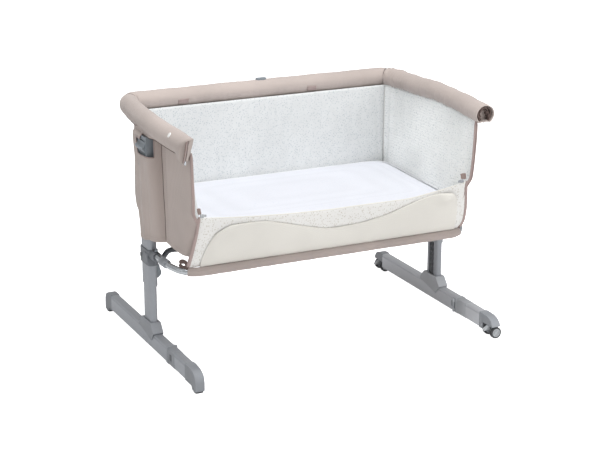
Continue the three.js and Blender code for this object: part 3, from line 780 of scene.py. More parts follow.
def rail_section(outside, squeeze, crumple):
    """One ring of the padded cover: round above, with a hem at each side of its flattened underside."""
    ring = []
    sides = 44
    flat = 0.0205
    for k in range(sides):
        angle = 2 * math.pi * (k + 0.5) / sides - math.pi / 2
        c, s = math.cos(angle), math.sin(angle)
        radius = RAIL_R * squeeze
        if s < 0:
            radius = min(radius, flat / max(-s, 0.2))
            radius += 0.0012 * smoothstep(0.62, 0.76, -s) * smoothstep(0.92, 0.80, -s)
        radius += crumple(angle)
        ring.append((outside * c * radius, s * radius))
    return ring


def pinched(a, b, along, outside):
    """Where a point of the left cover's ring goes near its closed front end, drawn to an upright edge."""
    out = a * outside
    inner = smoothstep(-0.012, 0.072, along)
    outer = math.sqrt(max(0.0, 1 - (1 - min(1.0, (along + 0.001) / 0.016)) ** 2))
    out *= lerp(0.05, 1.0, outer if out > 0 else inner * outer**0.3)
    drop = 0.95 * smoothstep(0.055, 0.0, along)
    lower = b * (1 + drop) if b < 0 else b * (1 + 0.06 * smoothstep(0.05, 0.0, along))
    lean = 0.52 * max(0.0, 0.026 - lower) * smoothstep(0.09, 0.0, along)
    return out * outside, lower, lean - 0.008 * smoothstep(0.05, 0.0, along)


def rail_cover(name, path, outside, seams, soft, node, open_ends):
    """A padded cover along path. seams are the shares of its length where it is drawn in."""
    stations = frames(path)
    total = len(path) - 1
    rings = []
    for i, (point, across, above) in enumerate(stations):
        t = i / total
        draw = 1.0
        for seam, tightness, width in seams:
            draw -= tightness * math.exp(-(((t - seam) * total * RAIL_STEP / width) ** 2))
        along = t * total * RAIL_STEP

        def crumple(angle):
            fine = wobble(along, math.cos(angle) * 0.012, math.sin(angle) * 0.012, 95)
            broad = wobble(along, math.cos(angle) * 0.02, math.sin(angle) * 0.02, 22, 3.1)
            lower = 0.35 + 0.65 * smoothstep(0.4, -0.7, math.sin(angle))
            pucker = 0.0
            if soft > 1.5:
                near = smoothstep(0.16, 0.03, total * RAIL_STEP - along) + 0.35
                pucker = 0.0015 * near * (0.75 + fine) * math.sin(
                    along * 560 + 2.2 * math.sin(angle) + 4 * broad
                )
            return soft * (0.0009 * fine * lower + 0.0011 * broad) + pucker

        ring = rail_section(outside, draw, crumple)
        if name.startswith("left") and along < 0.1:
            ahead = across.cross(above)
            moved = [pinched(a, b, along, outside) for a, b in ring]
            ahead *= 1 if ahead.dot(path[1] - path[0]) > 0 else -1
            rings.append([point + across * a + above * b + ahead * c for a, b, c in moved])
            continue
        rings.append([point + across * a + above * b for a, b in ring])

    def rim(ring, centre, along, steps):
        """Rolls the end of the cover over and back inside it."""
        out = []
        for inset, back in steps:
            out.append([centre + (v - centre) * inset + along * back for v in ring])
        return out

    first = (path[1] - path[0]).normalized()
    last = (path[-2] - path[-1]).normalized()
    roll = [(0.985, -0.0012), (0.94, -0.0018), (0.90, -0.0008), (0.885, 0.002), (0.87, 0.006), (0.86, 0.024)]
    flat = [(0.97, -0.0004), (0.93, 0.0)]
    start = rim(rings[0], path[0], first, roll if open_ends[0] else flat)
    end = rim(rings[-1], path[-1], last, roll if open_ends[1] else flat)
    whole = start[::-1] + rings + end
    piece = add_piece(name, *skin(whole), TAUPE_FABRIC, "taupe_fabric", (node,), angle=70)
    return piece


def closed_end():
    """The upright zipped band on the left cover's closed front end, with its slider."""
    top, foot = Vector((-0.4330, -0.2815, 0.6400)), Vector((-0.4285, -0.2440, 0.5760))
    bow = Vector((0, -0.0025, 0))
    line = [top.lerp(foot, t) + bow * 4 * t * (1 - t) for t in np.linspace(0, 1, 30)]
    wide = Vector((0.80, 0.60, 0)).normalized()
    strip("left_end_band", line, 0.0026, 0.0150, BINDING, wide, 14, 0.6, slot="taupe_fabric")
    for number, shift in (("outer", -0.0075), ("inner", 0.0078)):
        run = [p + wide * shift + Vector((0, -0.0012, 0)) for p in line]
        strip(f"left_end_{number}_piping", run, 0.0028, 0.0028, TAUPE_WEBBING, wide, 10, slot="taupe_fabric")
    teeth = [p + Vector((0.001, -0.0022, 0)) for p in line]
    stitches("left_end_zip", [teeth], SEAM_AND_SHADE_LINE, 0.0016, 0.0028, 0.0030)
    pull = [foot + Vector((0.0005, -0.0040, 0.0065 - 0.0125 * t)) for t in np.linspace(0, 1, 9)]
    strip("left_end_slider", pull, 0.0048, 0.0070, BRIGHT_TUBE, BACKWARD, 12, 0.6, slot="bright_tube")


def folded_end(name, point, along):
    """The layers of cloth rolled up inside the right cover's open front end, and their loose lower edge, in a
    darker copy of the taupe that paints the shade inside the cover.
    """
    across = UP.cross(along).normalized()
    above = along.cross(across)
    above *= 1 if above.z > 0 else -1
    layers = [
        (0.0192, -70, 228, 0.004, 0.0085), (0.0148, -62, 214, 0.007, 0.0060),
        (0.0103, -48, 200, 0.010, 0.0030),
    ]
    for number, (radius, start, end, deep, hang) in enumerate(layers, 1):
        def point_at(u, v):
            angle = math.radians(lerp(start, end, u))
            c, s = math.cos(angle), math.sin(angle)
            r = radius * (1 + 0.05 * math.sin(u * 17 + number * 2.0))
            low = hang * smoothstep(-0.2, -0.95, s)
            back = deep + 0.030 * v + 0.0016 * math.sin(u * 23 + number)
            return point + across * (c * r) + above * (max(s * r, -0.0170) - low * 0.6) + along * back

        layer = cloth(
            f"{name}_{number}", point_at, np.linspace(0, 1, 60), np.linspace(0, 1, 8),
            SHADED_ROLLED_FABRIC, "taupe_fabric", thickness=0.0018,
        )


def rail_covers():
    back = []
    for side, s in SIDES:
        half = rail_half(s)
        inside = [p for p in half if p.y > (-0.232 if side == "left" else -0.250) and abs(p.x) > 0.0305]
        round_tube(
            f"{side}_rail_tube_metal", inside, RAIL_TUBE_R, RAIL_TUBE_BORE, ALUMINIUM, 20,
            slot="aluminium", replaces=(f"{side}_rail_tube",),
        )
        seam = min(
            range(len(half)), key=lambda i: (half[i] - Vector((s * CORNER_SEAM.x, *CORNER_SEAM[1:]))).length,
        )
        arm = half[: seam + 1]
        soft = 1.0 if side == "left" else 1.9
        outside = -s
        rail_cover(
            f"{side}_rail_cover_fabric", arm, outside, [(1.0, 0.09, 0.005)], soft,
            f"{side}_rail_cover", (side == "right", False),
        )
        if side == "left":
            closed_end()
        else:
            folded_end(f"{side}_rail_end_fold", half[0], (half[1] - half[0]).normalized())
        hem = []
        for p in half[18 if side == "left" else 4: seam - 6]:
            near, column = abs(p.x) + HEM_OUT, smoothstep(-0.075, -0.050, p.y) * smoothstep(0.085, 0.040, p.y)
            hem.append(Vector((s * max(near, lerp(near, 0.4478, column)), p.y, p.z - HEM_DROP)))
        strip(f"{side}_rail_hem", hem, 0.0024, 0.0125, TAUPE_FABRIC, sides=12, power=0.7, slot="taupe_fabric")
        # A thin dark strip along the hem's lower edge: painted shadow, which makes the hem's line double.
        edge = [p + Vector((s * 0.0004, 0, -0.0066)) for p in hem]
        strip(f"{side}_rail_hem_shadow_line", edge, 0.0022, 0.0018, SEAM_AND_SHADE_LINE, sides=8, slot="taupe_fabric")
        ring = [
            half[seam] + (half[seam + 1] - half[seam]).cross(UP).normalized() * math.cos(a) * 0.0244
            + Vector((0, 0, max(0.0244 * math.sin(a), -0.0195)))
            for a in np.linspace(0, 2 * math.pi, 60)
        ]
        strip(f"{side}_rail_corner_thread", ring, 0.0014, 0.0014, SEAM_AND_SHADE_LINE, sides=8, slot="taupe_fabric")
        back.append(half[seam:])
    back = back[0] + back[1][::-1][1:]
    rail_cover(
        "back_rail_cover_fabric", back, 1, [(0.0, 0.09, 0.005), (1.0, 0.09, 0.005)], 1.0,
        "back_rail_cover", (False, False),
    )
    for number, (x, width) in enumerate(((-0.245, 0.031), (0.148, 0.029)), 1):
        rail_patch(f"rail_patch_{number}", x, width)


def rail_patch(name, x, width):
    """A small stitched patch on the inner face of the back rail, below the middle of its height."""
    radius = RAIL_R + 0.0007

    def point(u, v):
        angle = math.radians(lerp(-36, -4, v))
        lift = 0.0006 * math.sin(math.pi * u) * math.sin(math.pi * v)
        return Vector((
            x + width * (u - 0.5),
            BACK_Y - (radius + lift) * math.cos(angle),
            RAIL_Z + (radius + lift) * math.sin(angle),
        ))

    cloth(
        name, point, np.linspace(0, 1, 13), np.linspace(0, 1, 9), BINDING, "taupe_fabric",
        thickness=THIN_CLOTH,
    )
    inset = 0.07
    corners = [(inset, inset), (1 - inset, inset), (1 - inset, 1 - inset), (inset, 1 - inset), (inset, inset)]
    lines = [
        [point(lerp(u0, u1, t), lerp(v0, v1, t)) + Vector((0, -0.0008, 0)) for t in np.linspace(0, 1, 9)]
        for (u0, v0), (u1, v1) in zip(corners, corners[1:])
    ]
    stitches(f"{name}_stitches", lines, THREAD, 0.0026, pitch=0.004)


# ---- Lines that the walls share ----
RAIL_Z_AT = curve_through([(-0.275, 0.618), (-0.190, 0.6215), (-0.100, 0.625), (0, RAIL_Z), (0.25, RAIL_Z)])
RAIL_X_AT = curve_through([
    (-0.275, 0.420), (-0.190, 0.427), (-0.100, 0.4305), (0, 0.429), (0.100, 0.421), (0.190, 0.410),
    (0.235, 0.3945),
])
# The height of an end wall's lower edge along its foot.
WALL_LOW = curve_through([
    (-0.190, 0.309), (-0.130, 0.3165), (-0.080, 0.3225), (-0.040, 0.3200), (0, 0.3145), (0.033, 0.3160),
    (0.110, 0.3210), (0.175, 0.3280), (0.230, 0.3360),
])
# The front edge of an end wall leans with the lowered side at its foot, and stands upright above it.
FRONT_EDGE = curve_through([
    (0.300, -0.1830), (0.340, -0.2020), (0.380, -0.2205), (0.430, -0.2375), (0.500, -0.2450),
    (0.607, -0.2465),
])


SEAM_TOP, SEAM_FOOT = -0.059, -0.079
POCKET_X = 0.4588
LINING_BACK_Y = 0.2188
LINING_TURN = 0.0125  # how far over the board a lining turns in under the mattress
RAIL_LAP = 0.0195  # how far below the rail's middle a lining is sewn to its cover


def wall_foot_x(y):
    return 0.3965 - 0.0207 * y


def wall_x(y, z):
    """Outer face of an end wall, without the pocket on it."""
    height = smoothstep(0.31, 0.60, z) * 0.5 + (z - 0.31) / 0.29 * 0.5
    return lerp(wall_foot_x(y), RAIL_X_AT(y) - 0.010, height)


# ---- End walls: an outer panel with the column's pocket, and the lining ----
# Where the panel's upright threads run: (y at the top, y at the foot) from the back corner to the front.
PANEL_LINES = [
    (0.226, 0.2275), (0.150, 0.140), (0.080, 0.060), (0.040, 0.014), (-0.012, -0.012),
    (-0.048, -0.038), (SEAM_TOP, SEAM_FOOT), (-0.155, -0.135), (-0.2465, -0.187),
]
PANEL_STEPS = [8, 12, 12, 14, 12, 9, 14, 14]
WINDOW_SILL, WINDOW_STEP, WINDOW_TOP = 0.790, 0.936, 0.985
WINDOW_FRONT, WINDOW_REAR, WINDOW_TOE = 5.86, 4.0, 3.42


def panel_y(line, v):
    k = min(int(line), len(PANEL_LINES) - 2)
    t = line - k
    top = lerp(PANEL_LINES[k][0], PANEL_LINES[k + 1][0], t)
    foot = lerp(PANEL_LINES[k][1], PANEL_LINES[k + 1][1], t)
    straight = lerp(foot, top, v)
    if line <= 6:
        return straight
    return lerp(straight, FRONT_EDGE(lerp(0.310, 0.600, v)), (line - 6.0) / 2.0)


def pocket_share(line, z):
    """How far the cloth stands out over the column, from 0 on the wall to 1 outside the column."""
    corner = lerp(0.86, 0.98, smoothstep(0.44, 0.51, z))
    if line >= 6:
        return 0.0
    if line > 5:
        return corner * math.sqrt(max(0.0, 1 - (line - 5) ** 1.9))
    if line > 4:
        return lerp(1.0, corner, (line - 4) ** 2)
    if line > 3:
        return 1.0
    return 1 - smoothstep(0.0, 1.0, (3 - line) / 2.6) ** 0.8


def panel_point(s, line, v, lift=0.0, flat=False):
    y = panel_y(line, v)
    low = WALL_LOW(y)
    if y > 0.155:
        t = min(1.0, (y - 0.155) / (0.2275 - 0.155))
        low = lerp(WALL_LOW(0.155), 0.370, 1 - math.sqrt(max(0.0, 1 - t**2.8)))
    z = lerp(low, RAIL_Z_AT(y) - 0.020, v)
    base = wall_x(y, z)
    if flat:
        return Vector((s * (base - 0.002), y, z))
    if line > 5:
        base = lerp(0.4195, base, smoothstep(6.0, 8.0, line) * 0.5 + max(0.0, line - 6) * 0.25)
    reach = POCKET_X - 0.014 * smoothstep(0.592, 0.607, z) - 0.0040 * smoothstep(0.42, 0.32, z)
    x = lerp(base, max(base, reach), pocket_share(line, z))
    x -= 0.013 * smoothstep(7.0, 8.0, line) * smoothstep(0.440, 0.405, z)
    fold = math.sin(line * 4.1 + 0.6) * 0.55 + math.sin(line * 7.3 + v * 1.4) * 0.35
    pocket = smoothstep(0.9, 2.4, line) * smoothstep(6.0, 5.0, line)
    fade = smoothstep(1.0, 0.72, v) * (0.55 + 0.45 * smoothstep(0.0, 0.4, 1 - v))
    x -= (1 + fold) * 0.0021 * pocket * fade
    x += 0.0010 * wobble(0, y, z, 14, 5.0 + s) * (1 - smoothstep(0.10, 0.226, y))
    x -= 0.0016 * smoothstep(5.75, 6.0, line) * smoothstep(6.3, 6.0, line)
    return Vector((s * (x + lift), y, z))


def panel_lines():
    lines = [WINDOW_FRONT]
    for k, steps in enumerate(PANEL_STEPS):
        lines += [k + i / steps for i in range(steps)]
    return sorted(lines + [float(len(PANEL_STEPS))])


def in_window(line, v):
    if WINDOW_REAR < line < WINDOW_FRONT and WINDOW_SILL < v < WINDOW_TOP:
        return True
    return WINDOW_TOE < line <= WINDOW_REAR and WINDOW_SILL < v < WINDOW_STEP


def end_panel(side, s):
    vs = sorted(list(np.linspace(0, 1, 47)) + [WINDOW_SILL, WINDOW_STEP, WINDOW_TOP])
    piece = cloth(
        f"{side}_end_panel", lambda u, v: panel_point(s, u, v), panel_lines(), vs,
        TAUPE_FABRIC, "taupe_fabric", (f"{side}_end_wall",), skip=in_window,
    )
    corners = [
        (WINDOW_FRONT, WINDOW_TOP), (WINDOW_FRONT, WINDOW_SILL), (WINDOW_TOE, WINDOW_SILL),
        (WINDOW_TOE, WINDOW_STEP), (WINDOW_REAR, WINDOW_STEP), (WINDOW_REAR, WINDOW_TOP),
    ]
    run = []
    for (a, b), (c, d) in zip(corners, corners[1:]):
        run += [panel_point(s, lerp(a, c, t), lerp(b, d, t), 0.0003) for t in np.linspace(0, 1, 14)[:-1]]
    run.append(panel_point(s, *corners[-1], 0.0003))
    hem = strip(
        f"{side}_window_hem", spaced(run, 0.003), 0.0034, 0.0028, BINDING, Vector((s, 0.2, 0)), 8,
    )
    # The pocket's seam: a welt in dark cloth, partly the seam itself and partly painted shade of the crease
    # along it.
    seam = [panel_point(s, 6.0, v) + Vector((s * 0.0006, -0.0008, 0)) for v in np.linspace(0.0, 0.99, 60)]
    welt_and_shade = strip(f"{side}_pocket_seam_shade", seam, 0.0026, 0.0026, SEAM_AND_SHADE_LINE, BACKWARD, 8)
    front = [panel_point(s, 7.93, v) + Vector((s * 0.0006, -0.001, 0)) for v in np.linspace(0, 1, 60)]
    edge = strip(f"{side}_wall_binding", front, 0.0078, 0.0030, BINDING, Vector((s, 0, 0)), 10, 0.8)
    hem_run = [panel_point(s, line, 0.006) for line in np.linspace(0.9, 8, 150)]
    foot = strip(f"{side}_wall_foot_hem", spaced(hem_run, 0.004), 0.0036, 0.006, TAUPE_FABRIC, UP, 8)
    sewn = [[panel_point(s, line, 0.040, 0.0009) for line in np.linspace(1.0, 7.8, 150)]]
    for line in (6.16, 7.80):
        sewn.append([panel_point(s, line, v, 0.0009) for v in np.linspace(0.03, 0.98, 60)])
    thread = stitches(f"{side}_wall_stitches", sewn, THREAD)

    back = cloth(
        f"{side}_pocket_back", lambda u, v: panel_point(s, u, v, flat=True), np.linspace(0.6, 5.9, 40),
        np.linspace(0, 1, 12), TAUPE_FABRIC, "taupe_fabric", thickness=THIN_CLOTH,
    )

    def under(u, v):
        y = lerp(0.205, -0.186, u)
        z = WALL_LOW(min(y, 0.155)) + 0.02 * smoothstep(0.155, 0.215, y)
        t = v * math.pi / 2
        foot = wall_foot_x(y) - 0.002
        return Vector((s * lerp(foot, 0.362, math.sin(t)), y, lerp(z, BOARD_LOW - 0.0016, 1 - math.cos(t))))

    skirt = cloth(
        f"{side}_under_skirt", under, np.linspace(0, 1, 50), np.linspace(0, 1, 9),
        TAUPE_FABRIC, "taupe_fabric", thickness=THIN_CLOTH,
    )


# How far up the wall each row of a lining is. Below 0 it turns in and runs under the mattress.
LINING_VS = [-1.9, -1.4, -1.0, -0.75, -0.5, -0.25] + list(np.linspace(0, 1, 34))


def lining_x(y, z):
    """Inner face of an end lining, drawn in over the mattress towards the front."""
    foot = 0.3835 - 0.017 * smoothstep(0.20, -0.16, y)
    top = RAIL_X_AT(y) - 0.0165
    rise = (z - 0.385) / (0.607 - 0.385)
    return lerp(foot, top, smoothstep(-0.15, 1.0, rise) * 0.6 + max(0.0, rise) * 0.4)


def end_lining(side, s):
    under = 0.030
    wrinkle = 1.0 if side == "right" else 0.6

    def point(u, v):
        if v < 0:
            t = -v
            y = lerp(0.219, -0.186, u)
            edge = lining_x(y, BOARD_TOP + 0.012)
            angle = t * math.pi / 2
            if t <= 1:
                x = edge - 0.010 * (1 - math.cos(angle))
                z = BOARD_TOP + LINING_TURN - 0.011 * math.sin(angle)
            else:
                x = edge - 0.010 - under * (t - 1)
                z = BOARD_TOP + 0.0015
            return Vector((s * x, y, z))
        z = BOARD_TOP + LINING_TURN
        for _ in range(3):
            y = lerp(LINING_BACK_Y, FRONT_EDGE(z) + 0.0008, u)
            z = lerp(BOARD_TOP + LINING_TURN, RAIL_Z_AT(y) - RAIL_LAP, v)
        x = lining_x(y, z)
        corner = smoothstep(0.16, 0.04, u)
        x -= wrinkle * 0.0022 * corner * math.sin(u * 95 + 2.2 * v) * smoothstep(0.0, 0.02, u)
        x -= wrinkle * 0.0018 * wobble(0, y, z * 0.35, 34, 1.7) * (1 - smoothstep(0.85, 1.0, u))
        x -= 0.0012 * wobble(0, y, z, 12, 8.0)
        edge = wall_x(y, z) - 0.0035 - 0.012 * smoothstep(0.440, 0.405, z)
        x = lerp(x, edge, smoothstep(0.90, 1.0, u) ** 1.3)
        return Vector((s * x, y, z))

    material = RIBBED_LINING if side == "right" else LINING_FABRIC
    piece = cloth(
        f"{side}_end_lining", point, np.linspace(0, 1, 110), LINING_VS, material, "lining_fabric",
    )
    corner = [point(0.004, v) + Vector((-s * 0.0012, -0.0012, 0)) for v in np.linspace(0.14, 0.995, 50)]
    seam = strip(f"{side}_corner_seam", corner, 0.0022, 0.0022, PALE_THREAD, BACKWARD, 8)
    front = [point(0.997, v) + Vector((0, -0.0016, 0)) for v in np.linspace(0.02, 0.995, 60)]
    edge = strip(f"{side}_lining_binding", front, 0.0060, 0.0044, BINDING, BACKWARD, 10, 0.8)
    sewn = [point(0.972, v) + Vector((-s * 0.0011, 0, 0)) for v in np.linspace(0.06, 0.97, 60)]
    thread = stitches(f"{side}_lining_stitches", [sewn], PALE_THREAD)


# ---- Back wall ----
def back_wall():
    def lining(u, v):
        if v < 0:
            t = -v
            angle = min(t, 1) * math.pi / 2
            y = 0.2195 - 0.018 * (1 - math.cos(angle)) - 0.03 * max(0.0, t - 1)
            z = BOARD_TOP + 0.019 - 0.0175 * math.sin(angle)
            half = lining_x(0.219, 0.37) - 0.012 * math.sin(angle)
            return Vector((u * half, y, z))
        z = lerp(BOARD_TOP + 0.019, RAIL_Z - RAIL_LAP, v)
        half = lining_x(LINING_BACK_Y, z)
        bow = 0.0016 * wobble(u * 0.38, 0, z, 9, 2.0) + 0.0008 * wobble(u * 0.38, 0, z * 0.3, 40, 4.0)
        drawn = smoothstep(0.90, 1.0, abs(u)) * 0.0016 * math.sin(u * 140 + v * 3)
        bulge = (bow + drawn) * (1 - smoothstep(0.985, 1.0, abs(u)))
        return Vector((u * half, LINING_BACK_Y + bulge, z))

    inner = cloth(
        "back_lining", lining, np.linspace(-1, 1, 170), LINING_VS, LINING_FABRIC, "lining_fabric",
        ("back_wall",),
    )

    profile = smooth_path([
        (0, 0.2345, 0.607), (0, 0.2300, 0.560), (0, 0.2292, 0.470), (0, 0.2288, 0.400), (0, 0.2262, 0.368),
        (0, 0.2165, 0.347), (0, 0.2000, 0.3345), (0, 0.1810, 0.3290), (0, 0.1640, 0.3305),
        (0, 0.1540, 0.3335),
    ], 0.006)

    def panel(u, v):
        spot = profile[v]
        half = wall_x(0.2265, max(spot.z, 0.345)) + 0.0006 - 0.010 * smoothstep(0.37, 0.33, spot.z)
        sink = 0.0035 * smoothstep(0.975, 1.0, abs(u)) * smoothstep(0.34, 0.38, spot.z)
        bow = 0.0011 * wobble(u * 0.4, 0, spot.z, 10, 6.0)
        return Vector((u * half, spot.y - sink + bow * smoothstep(0.34, 0.37, spot.z), spot.z))

    outer = cloth(
        "back_panel", panel, np.linspace(-1, 1, 150), range(len(profile)), TAUPE_FABRIC, "taupe_fabric",
        ("back_wall",),
    )
    sewn = [
        [panel(side * 0.985, k) + Vector((0, 0.0011, 0)) for k in range(3, len(profile) - 14)]
        for side in (-1, 1)
    ]
    thread = stitches("back_panel_stitches", sewn, THREAD)


# ---- Lowered front side ----
PANEL_TOP = curve_through([
    (-0.398, 0.158), (-0.370, 0.152), (-0.300, 0.143), (-0.200, 0.134), (-0.100, 0.128), (0, 0.125),
    (0.100, 0.125), (0.200, 0.124), (0.300, 0.136), (0.370, 0.150), (0.398, 0.158),
])
POCKET_TOP = curve_through([
    (-0.372, 0.004), (-0.366, 0.035), (-0.352, 0.074), (-0.333, 0.107), (-0.292, 0.124), (-0.215, 0.122),
    (-0.150, 0.106), (-0.090, 0.088), (0, 0.068), (0.060, 0.070), (0.140, 0.082), (0.205, 0.104),
    (0.265, 0.124), (0.315, 0.133), (0.345, 0.131), (0.366, 0.110), (0.378, 0.060), (0.384, 0.010),
])


def front_place(x, w, out):
    """A point of the leaning front side: w up it from its foot, and out in front of its outer face."""
    c, s = math.cos(FRONT_LEAN), math.sin(FRONT_LEAN)
    return FRONT_FOOT + Vector((x, -s * w - c * out, c * w - s * out))


HALF_LEFT = curve_through([(0, 0.4030), (0.020, 0.4005), (0.057, 0.3960), (0.104, 0.3920), (0.158, 0.3900)])
HALF_RIGHT = curve_through([
    (0, 0.4010), (0.012, 0.4090), (0.030, 0.4125), (0.060, 0.4105), (0.096, 0.4040), (0.150, 0.3930),
    (0.158, 0.3920),
])


def front_half(side, w):
    return HALF_LEFT(w) if side < 0 else HALF_RIGHT(w)


def front_side():
    thick = 0.0085
    around = [(t, 0) for t in np.linspace(0.0, 1.0, 26)] + [(t, 1) for t in np.linspace(1.0, 0.0, 26)]
    rings = []
    for u in np.linspace(-1, 1, 130):
        ring = []
        for t, inside in around:
            w = t * PANEL_TOP(u * 0.394)
            x = u * (front_half(u, w) - 0.003)
            edge = min(1.0, (1 - abs(u)) / 0.035)
            swell = (1 - (2 * t - 1) ** 12) ** 0.5 * math.sqrt(max(0.0, 1 - (1 - edge) ** 2))
            half = thick / 2 * (0.18 + 0.82 * swell)
            soft = 0.0009 * wobble(x, 0, w, 24, 11.0) * swell
            out = -thick / 2 - 0.0005 + (-half if inside else half) + soft
            ring.append(front_place(x, w, out))
        rings.append(ring)
    panel = add_piece("front_panel", *skin(rings), FRONT_LINING, "lining_fabric", ("front_side",), 60)
    for side, s in SIDES:
        run = [
            front_place(s * (front_half(s, w) - 0.001), w, -0.0048) for w in np.linspace(-0.002, 0.157, 44)
        ]
        strip(
            f"{side}_front_panel_binding", run, 0.0072, 0.0100, BINDING, SIDEWAYS, 12, 0.8,
            slot="taupe_fabric",
        )
    rim = [front_place(x, PANEL_TOP(x) - 0.0004, -0.0049) for x in np.linspace(-0.385, 0.385, 160)]
    strip("front_panel_top_piping", rim, 0.0040, 0.0030, CREAM_FABRIC, sides=10, slot="cream_fabric")
    sewn = [front_place(x, PANEL_TOP(x) - 0.009, 0.0001) for x in np.linspace(-0.380, 0.380, 260)]
    stitches("front_panel_stitches", [sewn], PALE_THREAD)


def pocket_out(x, w):
    top = POCKET_TOP(x)
    t = min(1.0, max(0.0, w / max(top, 0.004)))
    ends = smoothstep(-0.372, -0.335, x) * smoothstep(0.384, 0.350, x)
    belly = 0.0052 * math.sin(math.pi * t) ** 0.7 * ends
    crest = 0.0105 * math.exp(-(((x - 0.338) / 0.026) ** 2) - ((w - 0.113) / 0.022) ** 2)
    left = 0.003 * math.exp(-(((x + 0.300) / 0.035) ** 2) - ((w - 0.105) / 0.025) ** 2)
    fold = 0.0012 * wobble(x, 0, w * 0.35, 26, 3.0) * ends * t
    return 0.0005 + belly + crest + left + fold


def front_pocket():
    def point(x, t):
        w = lerp(0.002, POCKET_TOP(x), t)
        return front_place(x, w, pocket_out(x, w))

    piece = cloth(
        "front_pocket_cloth", point, np.linspace(-0.3718, 0.3838, 230), np.linspace(0, 1, 30),
        CREAM_FABRIC, "cream_fabric", ("front_pocket",), offset=1.0,
    )
    inner = np.linspace(-0.3712, 0.3832, 420)

    def on_hem(x, below, proud):
        return front_place(x, POCKET_TOP(x) - below, pocket_out(x, POCKET_TOP(x)) + proud)

    rim = spaced([on_hem(x, 0.0024, 0.0009) for x in inner], 0.004)
    hem = strip(
        "front_pocket_hem", rim, 0.0016, 0.0058, CREAM_HEM, front_place(0, 1, 0) - front_place(0, 0, 0), 10,
    )
    sewn = [on_hem(x, 0.0066, 0.0016) for x in inner[12:-12]]
    thread = stitches("front_pocket_stitches", [sewn], PALE_THREAD)


def hem_band():
    """The sleeve of cloth at the front side's foot, which the drop tube runs through."""
    half = [p for p in smooth_path(DROP_PATH, 0.004) if p.x <= 0.4035]
    path = [Vector((-p.x, p.y, p.z)) for p in reversed(half[1:])] + half
    rings = []
    for point, across, above in frames(path):
        ring = []
        for c, s in turns(28):
            r = 0.0112 + 0.0006 * wobble(point.x, c * 0.01, s * 0.01, 40, 9.0)
            lift = 0.0016 * max(0.0, s) ** 4
            ring.append(point + across * (c * r) + above * (s * r + lift))
        rings.append(ring)
    inner = [[p + (q - p) * 0.87 for q in ring] for p, ring in zip(path, rings)]
    around = skin(rings + list(reversed(inner)), closed=True)
    piece = add_piece("front_hem_band", *around, BAND_FABRIC, "taupe_fabric")
    # A thin dark strip along the band's top crease: partly piping and partly painted shadow between the
    # panel's foot and the band.
    crease = [Vector((x, -0.1935, 0.2806)) for x in np.linspace(-0.386, 0.386, 180)]
    line = strip("front_hem_crease_shadow", crease, 0.0032, 0.0012, SEAM_AND_SHADE_LINE, sides=8)
    sewn = [Vector((x, -0.2030, 0.2746)) for x in np.linspace(-0.380, 0.380, 180)]
    thread = stitches("front_hem_stitches", [sewn], THREAD)


# ---- Mattress and base ----
def mattress_half(y):
    return 0.3775 - 0.0115 * smoothstep(0.20, -0.14, y)


def mattress():
    low, high = BOARD_TOP + 0.003, MATTRESS_TOP - 0.002
    outline = []
    for a in np.linspace(0, 2 * math.pi, 220, endpoint=False):
        c, s = math.cos(a), math.sin(a)
        outline.append((math.copysign(abs(c) ** 0.17, c), math.copysign(abs(s) ** 0.17, s)))
    middle, reach = (MATTRESS_FRONT + MATTRESS_BACK) / 2, (MATTRESS_BACK - MATTRESS_FRONT) / 2

    def place(x, y, share, z):
        wy = middle + reach * y * share
        return Vector((mattress_half(wy) * x * share, wy, z))

    rings = []
    for share, lift in ((0.02, 0.0), (0.3, 0.0), (0.6, 0.0), (0.85, 0.0), (0.955, 0.0004), (0.982, 0.003)):
        rings.append([place(x, y, share, low + lift) for x, y in outline])
    for t in (0.25, 0.45, 0.65, 0.8):
        rings.append([place(x, y, 0.994, lerp(low, high, t)) for x, y in outline])
    for share, drop in (
        (0.988, 0.004), (0.975, 0.0018), (0.95, 0.0006), (0.8, 0), (0.6, 0), (0.4, 0), (0.2, 0), (0.02, 0),
    ):
        crown = 0.0035 * (1 - share**2)
        rings.append([place(x, y, share, high - drop + crown) for x, y in outline])
    piece = add_piece("mattress_pad", *skin(rings), MATTRESS_FABRIC, "mattress_fabric", ("mattress",), 60)
    swell(piece, MATTRESS_VOXEL, MATTRESS_SWELL)
    rim = [place(x, y, 1.0, high - 0.0035) for x, y in outline]
    rim = spaced(rim + [rim[0]], 0.004)
    strip("mattress_piping", rim, 0.0032, 0.0032, PIPING_WHITE, sides=8, slot="mattress_fabric")


def swell(piece, voxel, cap):
    """Lets a closed cushion swell as cloth for a few steps, and keeps every point within cap of its start."""
    remesh = piece.modifiers.new("remesh", "REMESH")
    remesh.mode = "VOXEL"
    remesh.voxel_size = voxel
    apply_all(piece)
    start = [v.co.copy() for v in piece.data.vertices]
    cloth = piece.modifiers.new("cloth", "CLOTH")
    cloth.settings.use_pressure = True
    cloth.settings.uniform_pressure_force = 4
    cloth.settings.quality = 4
    cloth.settings.effector_weights.gravity = 0
    cloth.point_cache.frame_start = 1
    cloth.point_cache.frame_end = 20
    scene = bpy.context.scene
    for step in range(1, 21):
        scene.frame_set(step)
    apply_all(piece)
    scene.frame_set(1)
    for vertex, before in zip(piece.data.vertices, start):
        move = vertex.co - before
        if move.length > cap:
            vertex.co = before + move * (cap / move.length)
    piece.data.shade_smooth()
    modifier(piece, "SUBSURF", levels=1, render_levels=1)


def apply_all(piece):
    """Makes the piece's mesh what its modifiers show, and takes them off."""
    graph = bpy.context.evaluated_depsgraph_get()
    mesh = bpy.data.meshes.new_from_object(piece.evaluated_get(graph), depsgraph=graph)
    piece.modifiers.clear()
    piece.data = mesh


